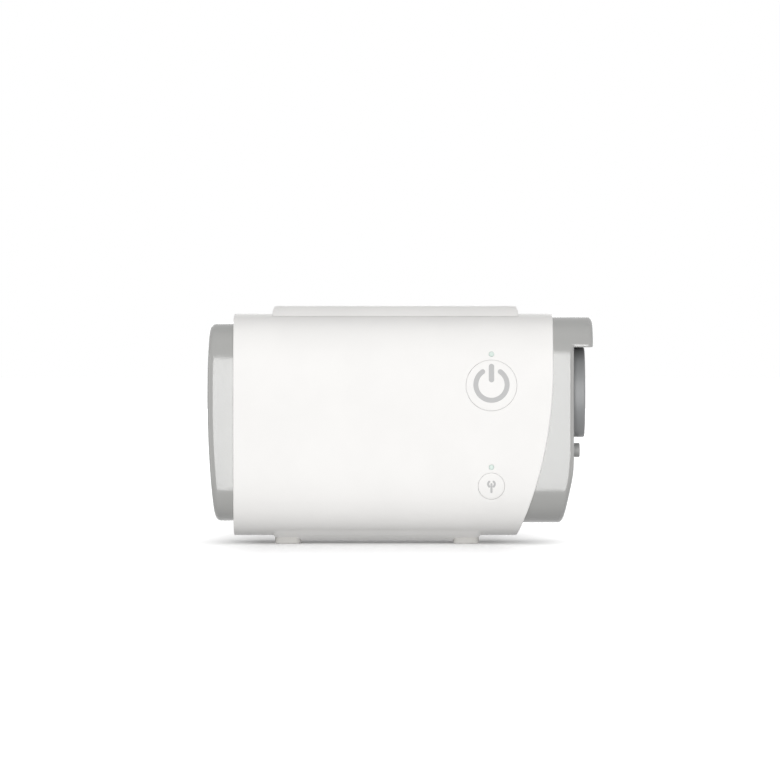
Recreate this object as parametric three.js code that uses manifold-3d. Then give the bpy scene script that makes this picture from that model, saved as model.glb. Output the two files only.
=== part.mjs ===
import * as THREE from 'three';
import { mergeVertices } from 'three/addons/utils/BufferGeometryUtils.js';
import Module from 'manifold-3d';

const wasm = await Module();
wasm.setup();

// A travel breathing therapy machine, standing on its long narrow side.
// X runs along its length towards the hose port, Y from the button face to the back, Z up.
// All lengths are in millimetres, and the origin is under the middle, on the surface it stands on.

// Fits and walls that all pieces share
const clearance = 0.3; // left between two pieces that touch
const overrun = 5; // how far a cut runs past the face it opens
const shellWall = 2;
const bodyRoundShare = 0.556; // 1 would make the body's section an ellipse, 0 a rectangle
const sectionCount = 36;
const innerCount = 24;
const outlineCount = 10;
const roundSides = 28;
const innerSides = 16;
const smallSides = 8;
const cornerSteps = 2;
const slotRoundShare = 0.4;

// Circuit board
const boardStandoff = 5.6; // from the front wall to the board
const boardThickness = 1.6;
const boardEndGap = 3.5;
const boardSideGap = 0.8;
const boardLowGap = 10.5; // from the inside of the floor to the board's edge
const boardHighGap = 8.9;
const boardCorner = 2;
const notchGap = 0.8; // round the case bosses that pass the board

// Blower
const eyeGap = 4.4; // from the board to the blower's inlet
const scrollDepth = 14;
const scrollWall = 1.6;
const scrollGrowth = 7; // how much the scroll opens in one whole turn
const tongueAngle = 45;
const scrollStepCount = 24;
const channelHeight = 13;
const channelRoundShare = 0.25;
const channelCount = 16;
const outletReach = 30; // from the blower's axis to the mouth of its channel
const impellerRadius = 20;
const tipGap = 2;
const runGap = 1.2;
const backplateThickness = 1.2;
const shroudThickness = 1;
const eyeRadius = 9.5;
const hubRadius = 4;
const hubLength = 4.6;
const bladeCount = 11;
const bladeStepCount = 3;
const bladeRootRadius = 9;
const bladeThickness = 0.9;
const bladeSweepAngle = 50;

// Motor
const shaftRadius = 1.5;
const bearingRadius = 4.5;
const bearingWidth = 3;
const bearingLip = 0.8;
const lipLedge = 1.3;
const hubWall = 1.5;
const statorGap = 0.9;
const coilOverhang = 1.2;
const coilEndGap = 0.5;
const coilThickness = 1.3;
const coreLength = 6;
const toothCount = 6;
const toothWidth = 3;
const shoeThickness = 1;
const shoeAngle = 20;
const airGap = 0.4;
const magnetRadius = 5.2;
const magnetOverhang = 0.6;
const statorRadius = 13;
const yokeWidth = 2.2;
const seatLedge = 1.8; // ledge in the motor cup that the core rests on
const cupWall = 1.5;
const motorCapWall = 1.4;
const leadRadius = 1.2;
const leadAngle = -25; // where the motor's lead leaves the cup
const leadSides = 6;
const leadSteps = 10;
const leadBendShare = 0.2;
const leadDepth = 1.8; // from the blower's rear wall to the middle of the lead

// Silicone mount of the blower
const mountWall = 2.5;
const mountGrip = 8;
const mountFloor = 3.2;
const mountEyeRadius = 8;
const padDepth = 1.6;
const cradleWall = 1.5;
const cradleReach = 5;

// Height, from the feet up
const footProud = 1;
const footInset = 0.9;
const footWidth = 9;
const footDepth = 24;
const footCorner = 2;
const plinthThickness = 1.5;
const plinthDepth = 34;
const plinthRise = 11; // height of the plinth's rounded section, most of it cut away by the body
const plinthLeftInset = 13.6; // from the body's left edge
const plinthRightInset = 25.1; // from the body's right edge at its widest
const plinthEndSlope = 1.8;
const footEndInset = 0.9;
const blowerFloorGap = 6;
const blowerCeilingGap = 12.45;
const railThickness = 2.5;
const railDepth = 25;
const railCorner = 1.2;
const railRightInset = 12.1;
const railNotchWidth = 1.7;
const railNotchDepth = 1;
const railNotchInset = 1.6;
const pegRadius = 1.6;
const pegReach = 3.4;
const pegInset = 14;
const rearShellDepth = 7.8; // from the seam between the two shells to the back

// Left end: inlet frame, filter and its cover
const coverDepth = 9.2;
const coverSideInset = 2.4;
const coverTopInset = 2.9;
const coverLowInset = 4.9;
const coverWall = 1.8;
const coverRim = 2;
const bulgeRadius = 400;
const bulgeLift = 11; // the end face stands out most this far above the middle of the body
const coverSlotCount = 9;
const coverSlotWidth = 26;
const coverSlotHeight = 2;
const coverSlotPitch = 4.5;
const coverRibWidth = 1.2;
const coverRibPlace = 15.6;
const coverRibHeight = 50;
const framePlate = 2.5;
const tongueWall = 1.5;
const tongueLength = 4;
const noseLength = 3.4;
const noseWall = 1.5;
const filterThickness = 3;
const windowCount = 6;
const windowWidth = 30;
const windowHeight = 6;
const windowPitch = 8.6;
const foamDepth = 8;
const foamGap = 1.525;
const foamSlotCount = 4;
const foamSlotHeight = 3;
const foamSlotPitch = 14;

// Right end: duct, port, cap and power inlet
const ductLength = 22.3;
const ductWall = 1.5;
const ductSleeve = 5;
const ductStepCount = 5;
const portInsertion = 20; // from the duct to the body's right edge
const hoodReach = 14.2; // from the body's right edge to the end of the hood
const portTubeRadius = 13.5;
const portBossGap = 1.1;
const portWall = 1.5;
const collarWidth = 2.45; // how far the collar stands out round the tube
const collarLength = 3.9;
const collarGrooveWidth = 1;
const collarGrooveDepth = 2.4;
const collarEdge = 0.6;
const sealThickness = 2.5;
const jointRadius = 145;
const jointBendDrop = 19.2; // below the body's top, where the right joint starts to sweep in
const capRadius = 197;
const capBendDrop = 6.2;
const capSideInset = 1.4;
const capTopInset = 0.5;
const capLowInset = 4.3;
const capWall = 2;
const capRim = 2.2;
const portSetback = 6.8; // from the end of the hood to the plane the port stands on
const hoodGap = 0.33; // from the port's collar up to the underside of the hood
const powerRadius = 2.6;
const powerGap = 2;
const powerProud = 2.6;
const powerLength = 17.8;
const powerFlangeRadius = 4.4;
const powerFlangeThickness = 1.2;
const powerFlangeInset = 10.7;
const powerBoreRadius = 1.75;
const powerBoreDepth = 9;
const powerPinRadius = 0.8;
const powerPinInset = 1;

// Front controls
const controlInset = 21.7; // from the body's right edge to the line of the controls
const startLift = 14.3; // above the middle of the body
const startRadius = 8.8;
const pairDrop = 21.2;
const pairRadius = 4.5;
const flangeWidth = 0.8;
const buttonTravel = 0.8;
const pressGap = 0.1;
const buttonWall = 1.4;
const buttonPostRadius = 1.5;
const lightRadius = 0.9;
const lightGap = 2.2;
const lightFlange = 0.4;
const flangeNotchGap = 0.4;
const switchWidth = 4.5;
const switchHeight = 0.7;
const plungerRadius = 1.2;
const plungerHeight = 0.2;
const ledWidth = 1.6;
const ledHeight = 0.6;

// Parts on the circuit board: widths, heights and how far they stand off it
const processorWidth = 12;
const processorRise = 1.3;
const processorShift = 4.5;
const radioWidth = 14;
const radioHeight = 11;
const radioRise = 2.2;
const radioInset = 6;
const sensorWidth = 6;
const sensorHeight = 5;
const sensorRise = 3;
const sensorBarbRadius = 1;
const sensorBarbLength = 3;
const socketWidth = 6;
const socketHeight = 5.6;
const socketRise = 4;
const capacitorRadius = 4;
const capacitorLength = 9;
const capacitorGroove = 0.4;
const capacitorGrooveInset = 1.6;
const partsGap = 5.5; // between the parts behind the board, right of the blower

// Screws and their bosses
const bossRadius = 3.2;
const bossEndGap = 1;
const screwSeatDrop = 0.9; // from the seam forward to the seat of a screw's head
const screwSeatThickness = 2;
const screwHeadRadius = 2.1;
const screwHeadHeight = 1.3;
const screwRadius = 1.1;
const screwLength = 10;
const screwTipGap = 0.6;
const lipThickness = 1.2;
const lipReach = 2.5;
const postRadius = 2.5;
const postInset = 5.5;
const postHighGap = 0.7; // from a case screw's boss to a post of the board
const postLowGap = 2.3;
const boardScrewHeadRadius = 1.8;
const boardScrewHeadHeight = 1.1;
const boardScrewRadius = 0.9;
const boardScrewLength = 5;

// Places along the depth, from the front face to the back
const motorDepth = bearingLip + clearance + bearingWidth + statorGap + coilOverhang + coreLength
  + coilOverhang + coilEndGap + bearingWidth + clearance + motorCapWall - scrollWall;
const mountDepth = clearance + mountFloor + clearance + padDepth;
const bodyDepth = shellWall + boardStandoff + boardThickness + eyeGap + scrollDepth + motorDepth
  + mountDepth + shellWall;
const halfDepth = bodyDepth / 2;
const boardFront = shellWall + boardStandoff - halfDepth;
const boardRear = boardFront + boardThickness;
const scrollFront = boardRear + eyeGap;
const scrollRear = scrollFront + scrollDepth;
const scrollMiddle = (scrollFront + scrollRear) / 2;
const frontBearing = scrollRear - scrollWall + bearingLip + clearance;
const coreFront = frontBearing + bearingWidth + statorGap + coilOverhang;
const coreRear = coreFront + coreLength;
const rearBearing = coreRear + coilOverhang + coilEndGap;
const motorRear = scrollRear + motorDepth;
const padFront = halfDepth - shellWall - padDepth;
const mountRear = padFront - clearance;
const mountFront = motorRear - mountGrip;
const seam = halfDepth - rearShellDepth;

// Places along the height
const channelDepth = scrollDepth;
const scrollBase = impellerRadius + tipGap;
const scrollRadiusAt = (turnShare) => scrollBase + scrollGrowth * turnShare;
const scrollTopShare = (tongueAngle + 270) / 360;
const scrollLeftShare = (tongueAngle + 180) / 360;
const scrollLowShare = (tongueAngle + 90) / 360;
const plinthBottom = footProud;
const bodyBottom = footProud + plinthThickness + clearance;
const bodyHeight = shellWall + blowerFloorGap + scrollRadiusAt(scrollLowShare) + scrollWall
  + scrollRadiusAt(scrollTopShare) + scrollWall + blowerCeilingGap + shellWall;
const halfHeight = bodyHeight / 2;
const bodyMiddle = bodyBottom + halfHeight;
const bodyTop = bodyBottom + bodyHeight;
const railTop = bodyTop + clearance + railThickness;
const blowerZ = bodyBottom + shellWall + blowerFloorGap + scrollRadiusAt(scrollLowShare) + scrollWall;
const channelZ = blowerZ + scrollRadiusAt(scrollTopShare) - channelHeight / 2;

// How far the body's section, drawn in all round by an inset, reaches from its middle at a depth
function sectionReach(depth, inset) {
  const power = 2 / bodyRoundShare;
  const share = Math.abs(depth) / (halfDepth - inset);
  return (halfHeight - inset) * (1 - share ** power) ** (1 / power);
}

const bossLift = sectionReach(seam, shellWall) - clearance - bossRadius;
const highScrewZ = bodyMiddle + bossLift;
const lowScrewZ = bodyMiddle - bossLift;
const portZ = highScrewZ - bossRadius - portBossGap - portTubeRadius;
const collarRadius = portTubeRadius + collarWidth;
const powerZ = portZ - collarRadius - powerGap - powerRadius;
const highPostZ = highScrewZ - bossRadius - postHighGap - postRadius;
const lowPostZ = lowScrewZ + bossRadius + postLowGap + postRadius;
const boardLow = bodyBottom + shellWall + boardLowGap;
const boardHigh = bodyTop - shellWall - boardHighGap;
const startZ = bodyMiddle + startLift;
const startLightZ = startZ + startRadius + lightGap;
const pairZ = bodyMiddle - pairDrop;
const pairLightZ = pairZ + pairRadius + lightGap;

// Places along the length, from the filter cover to the hood
const overallLength = coverDepth + framePlate + clearance + foamDepth + foamGap
  + scrollRadiusAt(scrollLeftShare) + scrollWall + outletReach + ductLength + portInsertion + hoodReach;
const leftEnd = -overallLength / 2;
const rightEnd = overallLength / 2;
const bodyLeft = leftEnd + coverDepth;
const plateRight = bodyLeft + framePlate;
const foamLeft = plateRight + clearance;
const foamRight = foamLeft + foamDepth;
const blowerX = foamRight + foamGap + scrollRadiusAt(scrollLeftShare) + scrollWall;
const channelMouth = blowerX + outletReach;
const portLeft = channelMouth + ductLength;
const bodyRight = portLeft + portInsertion;
const portPlane = rightEnd - portSetback;
const collarRight = portPlane + clearance + collarLength;
const powerRight = portPlane + powerProud;
const bulgeZ = bodyMiddle + bulgeLift;
const controlX = bodyRight - controlInset;
const sleeveRight = portLeft + ductSleeve;

// Edges that are drawn in the front view, as x at a height
function sweptEdge(z, reach, bendZ, radius) {
  const drop = Math.max(0, bendZ - z);
  return reach - radius + Math.sqrt(radius ** 2 - drop ** 2);
}
const jointAt = (z) => sweptEdge(z, bodyRight, bodyTop - jointBendDrop, jointRadius);
const hoodAt = (z) => sweptEdge(z, rightEnd, bodyTop - capBendDrop, capRadius);
const coverAt = (z) => leftEnd + (z - bulgeZ) ** 2 / (2 * bulgeRadius);
const straightAt = (x) => () => x;

const boardLeft = foamRight + boardSideGap;
const boardRight = jointAt(boardLow) - framePlate - boardEndGap;
const leftScrewX = foamRight + bossEndGap + bossRadius;
const screwPlaces = [
  [leftScrewX, highScrewZ],
  [leftScrewX, lowScrewZ],
  [sleeveRight + bossEndGap + bossRadius, highScrewZ],
  [controlX - pairRadius - clearance - flangeWidth - bossEndGap - bossRadius, lowScrewZ],
];
const postLeftX = boardLeft + postInset;
const postRightX = channelMouth + postRadius;
const postPlaces = [
  [postLeftX, highPostZ],
  [postLeftX, lowPostZ],
  [postRightX, highPostZ],
  [postRightX, lowPostZ],
];
const restPlace = [boardRight - postInset, (startZ + pairZ) / 2];
const buttonRear = boardFront - clearance - switchHeight - plungerHeight - buttonTravel - pressGap;

// Closed meshes become solids, which are joined and cut
function solidOf(geometry) {
  const bare = new THREE.BufferGeometry();
  bare.setAttribute('position', geometry.getAttribute('position'));
  bare.setIndex(geometry.getIndex());
  const merged = mergeVertices(bare);
  const places = merged.getAttribute('position').array;
  const index = merged.getIndex().array;
  const corners = [];
  let volume = 0;
  const [a, b, c] = [new THREE.Vector3(), new THREE.Vector3(), new THREE.Vector3()];
  for (let i = 0; i < index.length; i += 3) {
    const [p, q, r] = [index[i], index[i + 1], index[i + 2]];
    if (p === q || q === r || p === r) continue;
    corners.push(p, q, r);
    a.fromArray(places, 3 * p);
    b.fromArray(places, 3 * q);
    c.fromArray(places, 3 * r);
    volume += a.dot(b.cross(c));
  }
  if (volume < 0) corners.reverse();
  const mesh = new wasm.Mesh({
    numProp: 3,
    vertProperties: Float32Array.from(places),
    triVerts: Uint32Array.from(corners),
  });
  return new wasm.Manifold(mesh);
}

function geometryOf(solid) {
  const mesh = solid.getMesh();
  const geometry = new THREE.BufferGeometry();
  geometry.setAttribute('position', new THREE.BufferAttribute(mesh.vertProperties, 3));
  geometry.setIndex(new THREE.BufferAttribute(mesh.triVerts, 1));
  geometry.computeVertexNormals();
  return geometry;
}

const join = (...solids) => solids.reduce((sum, solid) => sum.add(solid));
const cut = (body, ...tools) => tools.reduce((rest, tool) => rest.subtract(tool), body);
const common = (...solids) => solids.reduce((rest, solid) => rest.intersect(solid));

// Outlines are extruded along one of the three axes
function extruded(points, length, basis) {
  const shape = new THREE.Shape(points);
  const geometry = new THREE.ExtrudeGeometry(shape, { depth: length, bevelEnabled: false });
  return solidOf(geometry.applyMatrix4(basis));
}

function alongX(points, from, to) {
  const basis = new THREE.Matrix4().set(0, 0, 1, from, 1, 0, 0, 0, 0, 1, 0, 0, 0, 0, 0, 1);
  return extruded(points, to - from, basis);
}

function alongY(points, from, to) {
  const basis = new THREE.Matrix4().set(1, 0, 0, 0, 0, 0, -1, to, 0, 1, 0, 0, 0, 0, 0, 1);
  return extruded(points, to - from, basis);
}

function alongZ(points, from, to) {
  const basis = new THREE.Matrix4().makeTranslation(0, 0, from);
  return extruded(points, to - from, basis);
}

function circle(across, up, radius, sides = roundSides) {
  const points = [];
  for (let i = 0; i < sides; i += 1) {
    const turn = (2 * Math.PI * i) / sides;
    points.push(new THREE.Vector2(across + radius * Math.cos(turn), up + radius * Math.sin(turn)));
  }
  return points;
}

function rectangle(left, right, low, high) {
  return [[left, low], [right, low], [right, high], [left, high]].map(([x, y]) => new THREE.Vector2(x, y));
}

function roundedRectangle(left, right, low, high, radius, steps = cornerSteps) {
  const shape = new THREE.Shape();
  shape.absarc(right - radius, high - radius, radius, 0, Math.PI / 2);
  shape.absarc(left + radius, high - radius, radius, Math.PI / 2, Math.PI);
  shape.absarc(left + radius, low + radius, radius, Math.PI, 1.5 * Math.PI);
  shape.absarc(right - radius, low + radius, radius, 1.5 * Math.PI, 2 * Math.PI);
  return shape.getPoints(steps).slice(0, -1);
}

function boxOf(left, right, front, rear, low, high) {
  return alongZ(rectangle(left, right, front, rear), low, high);
}

// Rounded section across X: a rectangle whose sides swell into one another
function section(deep, high, middle, share = bodyRoundShare, count = sectionCount, centre = 0) {
  const points = [];
  for (let i = 0; i < count; i += 1) {
    const turn = (2 * Math.PI * i) / count;
    const [across, up] = [Math.cos(turn), Math.sin(turn)];
    const y = centre + deep * Math.sign(across) * Math.abs(across) ** share;
    const z = middle + high * Math.sign(up) * Math.abs(up) ** share;
    points.push(new THREE.Vector2(y, z));
  }
  return points;
}

function bodySection(inset) {
  const count = inset > shellWall ? innerCount : sectionCount;
  return section(halfDepth - inset, halfHeight - inset, bodyMiddle, bodyRoundShare, count);
}

function insetSection([side, top, low], count = sectionCount) {
  const middle = bodyMiddle + (low - top) / 2;
  return section(halfDepth - side, halfHeight - (low + top) / 2, middle, bodyRoundShare, count);
}

const deeper = (insets, extra) => insets.map((inset) => inset + extra);

// Everything between two edges of the front view
function between(leftAt, rightAt) {
  const points = [];
  const [low, high] = [-overrun, railTop + overrun];
  for (let i = 0; i <= outlineCount; i += 1) {
    const z = low + ((high - low) * i) / outlineCount;
    points.push(new THREE.Vector2(rightAt(z), z));
    points.unshift(new THREE.Vector2(leftAt(z), z));
  }
  return alongY(points, -halfDepth - overrun, halfDepth + overrun);
}

const bodyBlock = (inset) => alongX(bodySection(inset), leftEnd - overrun, rightEnd + overrun);
const depthBand = (front, rear) => boxOf(leftEnd, rightEnd, front, rear, 0, railTop);

// Rings of equal counts are skinned, and each end is closed in strips across the depth
function lofted(rings) {
  const count = rings[0].length;
  const places = rings.flat().flatMap((point) => point.toArray());
  const index = [];
  for (let i = 0; i + 1 < rings.length; i += 1) {
    for (let j = 0; j < count; j += 1) {
      const [near, next] = [i * count + j, i * count + ((j + 1) % count)];
      index.push(near, next, next + count, near, next + count, near + count);
    }
  }
  for (const [start, flip] of [[0, true], [(rings.length - 1) * count, false]]) {
    for (let j = -count / 4; j < count / 4; j += 1) {
      const at = (k) => start + ((k + 2 * count) % count);
      const [near, next] = [at(count / 2 - j), at(count / 2 - j - 1)];
      const strip = [at(j), at(j + 1), next, at(j), next, near];
      index.push(...(flip ? strip.reverse() : strip));
    }
  }
  const geometry = new THREE.BufferGeometry();
  geometry.setAttribute('position', new THREE.Float32BufferAttribute(places, 3));
  geometry.setIndex(index);
  return solidOf(geometry);
}

const ringAt = (points, xAt) => points.map((point) => new THREE.Vector3(xAt(point.y), point.x, point.y));

// An end cap that swells from its joint and turns over a rounded rim into its end face
function endCap(insets, jointEdge, endEdge, rim, side) {
  const rings = [ringAt(insetSection(insets), jointEdge)];
  for (const angle of [0, 45, 90]) {
    const turn = THREE.MathUtils.degToRad(angle);
    const drawn = rim * (1 - Math.cos(turn));
    const points = insetSection(deeper(insets, drawn));
    rings.push(ringAt(points, (z) => endEdge(z) - side * rim * (1 - Math.sin(turn))));
  }
  return lofted(rings);
}

// Turned pieces: a profile of radius and height, spun round Y or laid along X
function turnedY(profile, sides = innerSides) {
  const points = profile.map(([radius, height]) => new THREE.Vector2(radius, height));
  return solidOf(new THREE.LatheGeometry([...points, points[0]], sides));
}

function turnedX(profile, sides = roundSides) {
  const points = profile.map(([radius, height]) => new THREE.Vector2(radius, height));
  return solidOf(new THREE.LatheGeometry([...points, points[0]], sides).rotateZ(-Math.PI / 2));
}

const tubeProfile = (bore, radius, from, to) => [[bore, from], [radius, from], [radius, to], [bore, to]];

// Shells of the body
function skin(leftAt, rightAt, outer, inner) {
  return common(cut(bodyBlock(outer), bodyBlock(inner)), between(leftAt, rightAt));
}

const liningSolid = () => common(bodyBlock(shellWall / 2), between(straightAt(bodyLeft), jointAt));
const railLeft = bodyLeft + plinthLeftInset;
const railRight = bodyRight - railRightInset;
const plinthRight = bodyRight - plinthRightInset;
const pegPlaces = (left, right) => [left + pegInset, right - pegInset];

function frontShell() {
  let shell = common(skin(straightAt(bodyLeft), jointAt, 0, shellWall), depthBand(-halfDepth, seam));
  const bossEnd = seam - screwSeatDrop - screwSeatThickness - clearance;
  const lining = liningSolid();
  for (const [x, z] of screwPlaces) {
    shell = join(shell, common(alongY(circle(x, z, bossRadius, smallSides), -halfDepth, bossEnd), lining));
  }
  for (const [x, z] of [...postPlaces, restPlace]) {
    const post = alongY(circle(x, z, postRadius, smallSides), -halfDepth, boardFront - clearance);
    shell = join(shell, common(post, lining));
  }
  const holeFloor = seam - screwSeatDrop + clearance - screwLength - screwTipGap;
  for (const [x, z] of screwPlaces) {
    const hole = circle(x, z, screwRadius + clearance, smallSides);
    shell = cut(shell, alongY(hole, holeFloor, halfDepth));
  }
  const tip = boardRear + clearance - boardScrewLength - screwTipGap;
  for (const [x, z] of postPlaces) {
    const hole = circle(x, z, boardScrewRadius + clearance, smallSides);
    shell = cut(shell, alongY(hole, tip, boardFront));
  }
  const openings = [
    [startZ, startRadius, roundSides],
    [pairZ, pairRadius, roundSides],
    [startLightZ, lightRadius, smallSides],
    [pairLightZ, lightRadius, smallSides],
  ];
  for (const [z, radius, sides] of openings) {
    const hole = circle(controlX, z, radius + clearance, sides);
    shell = cut(shell, alongY(hole, -halfDepth - overrun, boardFront));
  }
  for (const x of pegPlaces(railLeft, railRight)) {
    shell = cut(shell, alongZ(circle(x, 0, pegRadius + clearance, smallSides), bodyMiddle, railTop));
  }
  for (const x of pegPlaces(railLeft, plinthRight)) {
    shell = cut(shell, alongZ(circle(x, 0, pegRadius + clearance, smallSides), 0, bodyMiddle));
  }
  return shell;
}

function rearCover() {
  const seat = seam - screwSeatDrop;
  const lipLeft = straightAt(plateRight + tongueLength + clearance);
  const lipRight = (z) => jointAt(z) - framePlate - tongueLength - clearance;
  const lipInner = shellWall + clearance + lipThickness;
  const root = seam + clearance;
  const lip = common(
    skin(lipLeft, lipRight, shellWall + clearance, lipInner),
    depthBand(seam - lipReach, root + lipReach / 2),
  );
  const lipRoot = common(
    skin(lipLeft, lipRight, shellWall / 2, lipInner),
    depthBand(root, root + lipReach),
  );
  const wall = common(skin(straightAt(bodyLeft), jointAt, 0, shellWall), depthBand(root, halfDepth));
  const cradleRadius = statorRadius + clearance + cupWall + clearance + mountWall + clearance;
  const cradleDisc = (radius) => circle(blowerX, blowerZ, radius, innerSides);
  const ring = cut(
    alongY(cradleDisc(cradleRadius + cradleWall), padFront - cradleReach, halfDepth),
    alongY(cradleDisc(cradleRadius), padFront - cradleReach - overrun, padFront),
  );
  const lining = liningSolid();
  let cover = join(wall, lipRoot, lip, common(ring, lining));
  for (const [x, z] of screwPlaces) {
    const tube = alongY(circle(x, z, bossRadius, smallSides), seat - screwSeatThickness, halfDepth);
    cover = join(cover, common(tube, lining));
  }
  for (const [x, z] of screwPlaces) {
    const head = circle(x, z, screwHeadRadius + clearance, smallSides);
    const hole = circle(x, z, screwRadius + clearance, smallSides);
    cover = cut(cover, alongY(head, seat, halfDepth + overrun));
    cover = cut(cover, alongY(hole, seat - screwSeatThickness - overrun, halfDepth));
  }
  return cover;
}

// Rail on the top and plinth under the bottom, pegged through the front shell
function topRail() {
  const low = bodyMiddle + sectionReach(railDepth / 2, 0) - clearance;
  const profile = roundedRectangle(-railDepth / 2, railDepth / 2, low, railTop, railCorner);
  let rail = cut(alongX(profile, railLeft, railRight), bodyBlock(-clearance));
  const notchRear = -railDepth / 2 + railNotchInset;
  for (const left of [railLeft + railNotchInset, railRight - railNotchInset - railNotchWidth]) {
    const outline = rectangle(left, left + railNotchWidth, -railDepth, notchRear);
    rail = cut(rail, alongZ(outline, railTop - railNotchDepth, railTop + overrun));
  }
  for (const x of pegPlaces(railLeft, railRight)) {
    const top = bodyTop + clearance + railThickness / 2;
    rail = join(rail, alongZ(circle(x, 0, pegRadius, smallSides), bodyTop - pegReach, top));
  }
  return rail;
}

const footPlaces = [
  railLeft + footEndInset + footWidth / 2,
  plinthRight - footEndInset - footWidth / 2,
];

const footOutline = (x, grow) => roundedRectangle(
  x - footWidth / 2 - grow,
  x + footWidth / 2 + grow,
  -footDepth / 2 - grow,
  footDepth / 2 + grow,
  footCorner + grow,
);

function basePlinth() {
  const profile = section(plinthDepth / 2, plinthRise / 2, plinthBottom + plinthRise / 2);
  const ends = [
    new THREE.Vector2(railLeft, 0),
    new THREE.Vector2(plinthRight, 0),
    new THREE.Vector2(plinthRight, bodyBottom),
    new THREE.Vector2(plinthRight - plinthEndSlope, plinthBottom + plinthRise),
    new THREE.Vector2(railLeft + plinthEndSlope, plinthBottom + plinthRise),
    new THREE.Vector2(railLeft, bodyBottom),
  ];
  let plinth = common(alongX(profile, railLeft, plinthRight), alongY(ends, -halfDepth, halfDepth));
  plinth = cut(plinth, bodyBlock(-clearance));
  for (const x of footPlaces) {
    plinth = cut(plinth, alongZ(footOutline(x, clearance), 0, plinthBottom + footInset));
  }
  for (const x of pegPlaces(railLeft, plinthRight)) {
    const low = bodyBottom - clearance - plinthThickness / 2;
    plinth = join(plinth, alongZ(circle(x, 0, pegRadius, smallSides), low, bodyBottom + pegReach));
  }
  return plinth;
}

const foot = () => alongZ(footOutline(0, 0), 0, footProud + footInset - clearance);

// Left end
const coverInsets = [coverSideInset, coverTopInset, coverLowInset];

function slotsX(count, width, height, pitch, from, to) {
  const slots = [];
  for (let i = 0; i < count; i += 1) {
    const z = bodyMiddle + (i - (count - 1) / 2) * pitch;
    const [low, high] = [z - height / 2, z + height / 2];
    const outline = roundedRectangle(-width / 2, width / 2, low, high, height * slotRoundShare, 1);
    slots.push(alongX(outline, from, to));
  }
  return slots;
}

function filterCover() {
  const mouth = bodyLeft - clearance;
  const outer = endCap(coverInsets, straightAt(mouth), coverAt, coverRim, -1);
  const innerEdge = (z) => coverAt(z) + coverWall;
  const roomy = deeper(coverInsets, coverWall);
  const inside = endCap(roomy, straightAt(mouth + overrun), innerEdge, coverRim - coverWall, -1);
  const slots = slotsX(
    coverSlotCount, coverSlotWidth, coverSlotHeight, coverSlotPitch, leftEnd - overrun, mouth,
  );
  const ribEnd = bodyLeft - clearance - filterThickness - clearance;
  const ribs = [-coverRibPlace, coverRibPlace].map((y) => common(outer, boxOf(
    leftEnd,
    ribEnd,
    y - coverRibWidth / 2,
    y + coverRibWidth / 2,
    bodyMiddle - coverRibHeight / 2,
    bodyMiddle + coverRibHeight / 2,
  )));
  return join(cut(outer, inside, ...slots), ...ribs);
}

function airFilter() {
  const media = deeper(coverInsets, coverWall + clearance + noseWall + clearance);
  const right = bodyLeft - clearance;
  return alongX(insetSection(media, innerCount), right - filterThickness, right);
}

function inletFrame() {
  const inset = shellWall + clearance;
  const plate = alongX(bodySection(inset), bodyLeft, plateRight);
  const tongue = cut(
    alongX(bodySection(inset), bodyLeft, plateRight + tongueLength),
    alongX(bodySection(inset + tongueWall), plateRight, rightEnd),
  );
  const nose = deeper(coverInsets, coverWall + clearance);
  const ring = cut(
    alongX(insetSection(nose, innerCount), bodyLeft - noseLength, plateRight),
    alongX(insetSection(deeper(nose, noseWall), innerCount), leftEnd, bodyLeft),
  );
  const windows = slotsX(
    windowCount, windowWidth, windowHeight, windowPitch, bodyLeft - overrun, plateRight + overrun,
  );
  return cut(join(plate, tongue, ring), ...windows);
}

function mufflerFoam() {
  const foam = alongX(bodySection(shellWall + clearance + tongueWall + clearance), foamLeft, foamRight);
  const slots = slotsX(
    foamSlotCount, windowWidth, foamSlotHeight, foamSlotPitch, foamLeft - overrun, foamRight + overrun,
  );
  return cut(foam, ...slots);
}

// Right end
function outletFrame() {
  const inset = shellWall + clearance;
  const plateAt = (z) => jointAt(z) - framePlate;
  const tongueAt = (z) => plateAt(z) - tongueLength;
  const plate = common(bodyBlock(inset), between(plateAt, jointAt));
  const tongue = skin(tongueAt, jointAt, inset, inset + tongueWall);
  return cut(
    join(plate, tongue),
    alongX(circle(0, portZ, portTubeRadius + clearance), 0, rightEnd),
    alongX(circle(0, powerZ, powerRadius + clearance, smallSides), 0, rightEnd),
  );
}

function outletCap() {
  const insets = [capSideInset, capTopInset, capLowInset];
  const jointEdge = (z) => jointAt(z) + clearance;
  const outer = endCap(insets, jointEdge, hoodAt, capRim, 1);
  const inside = endCap(
    deeper(insets, capWall), (z) => jointEdge(z) - overrun, (z) => hoodAt(z) - capWall, capRim / 2, 1,
  );
  const hoodUnder = portZ + collarRadius + hoodGap;
  const portRoom = boxOf(portPlane, rightEnd + overrun, -halfDepth, halfDepth, 0, hoodUnder);
  const wallFace = portPlane - capWall;
  const wallRoom = boxOf(wallFace, rightEnd + overrun, -halfDepth, halfDepth, 0, hoodUnder + capWall);
  return cut(
    outer,
    portRoom,
    cut(inside, wallRoom),
    alongX(circle(0, portZ, portTubeRadius + clearance), bodyRight, rightEnd),
    alongX(circle(0, powerZ, powerRadius + clearance, smallSides), 0, rightEnd),
  );
}

function outletPort() {
  const bore = portTubeRadius - portWall;
  const collarLeft = portPlane + clearance;
  const profile = [
    [bore, portLeft],
    [portTubeRadius, portLeft],
    [portTubeRadius, collarLeft],
    [collarRadius, collarLeft],
    [collarRadius, collarRight - collarEdge],
    [collarRadius - collarEdge, collarRight],
    [portTubeRadius + collarGrooveWidth, collarRight],
    [portTubeRadius + collarGrooveWidth, collarRight - collarGrooveDepth],
    [portTubeRadius, collarRight - collarGrooveDepth],
    [portTubeRadius, collarRight],
    [bore, collarRight],
  ];
  return turnedX(profile);
}

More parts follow.
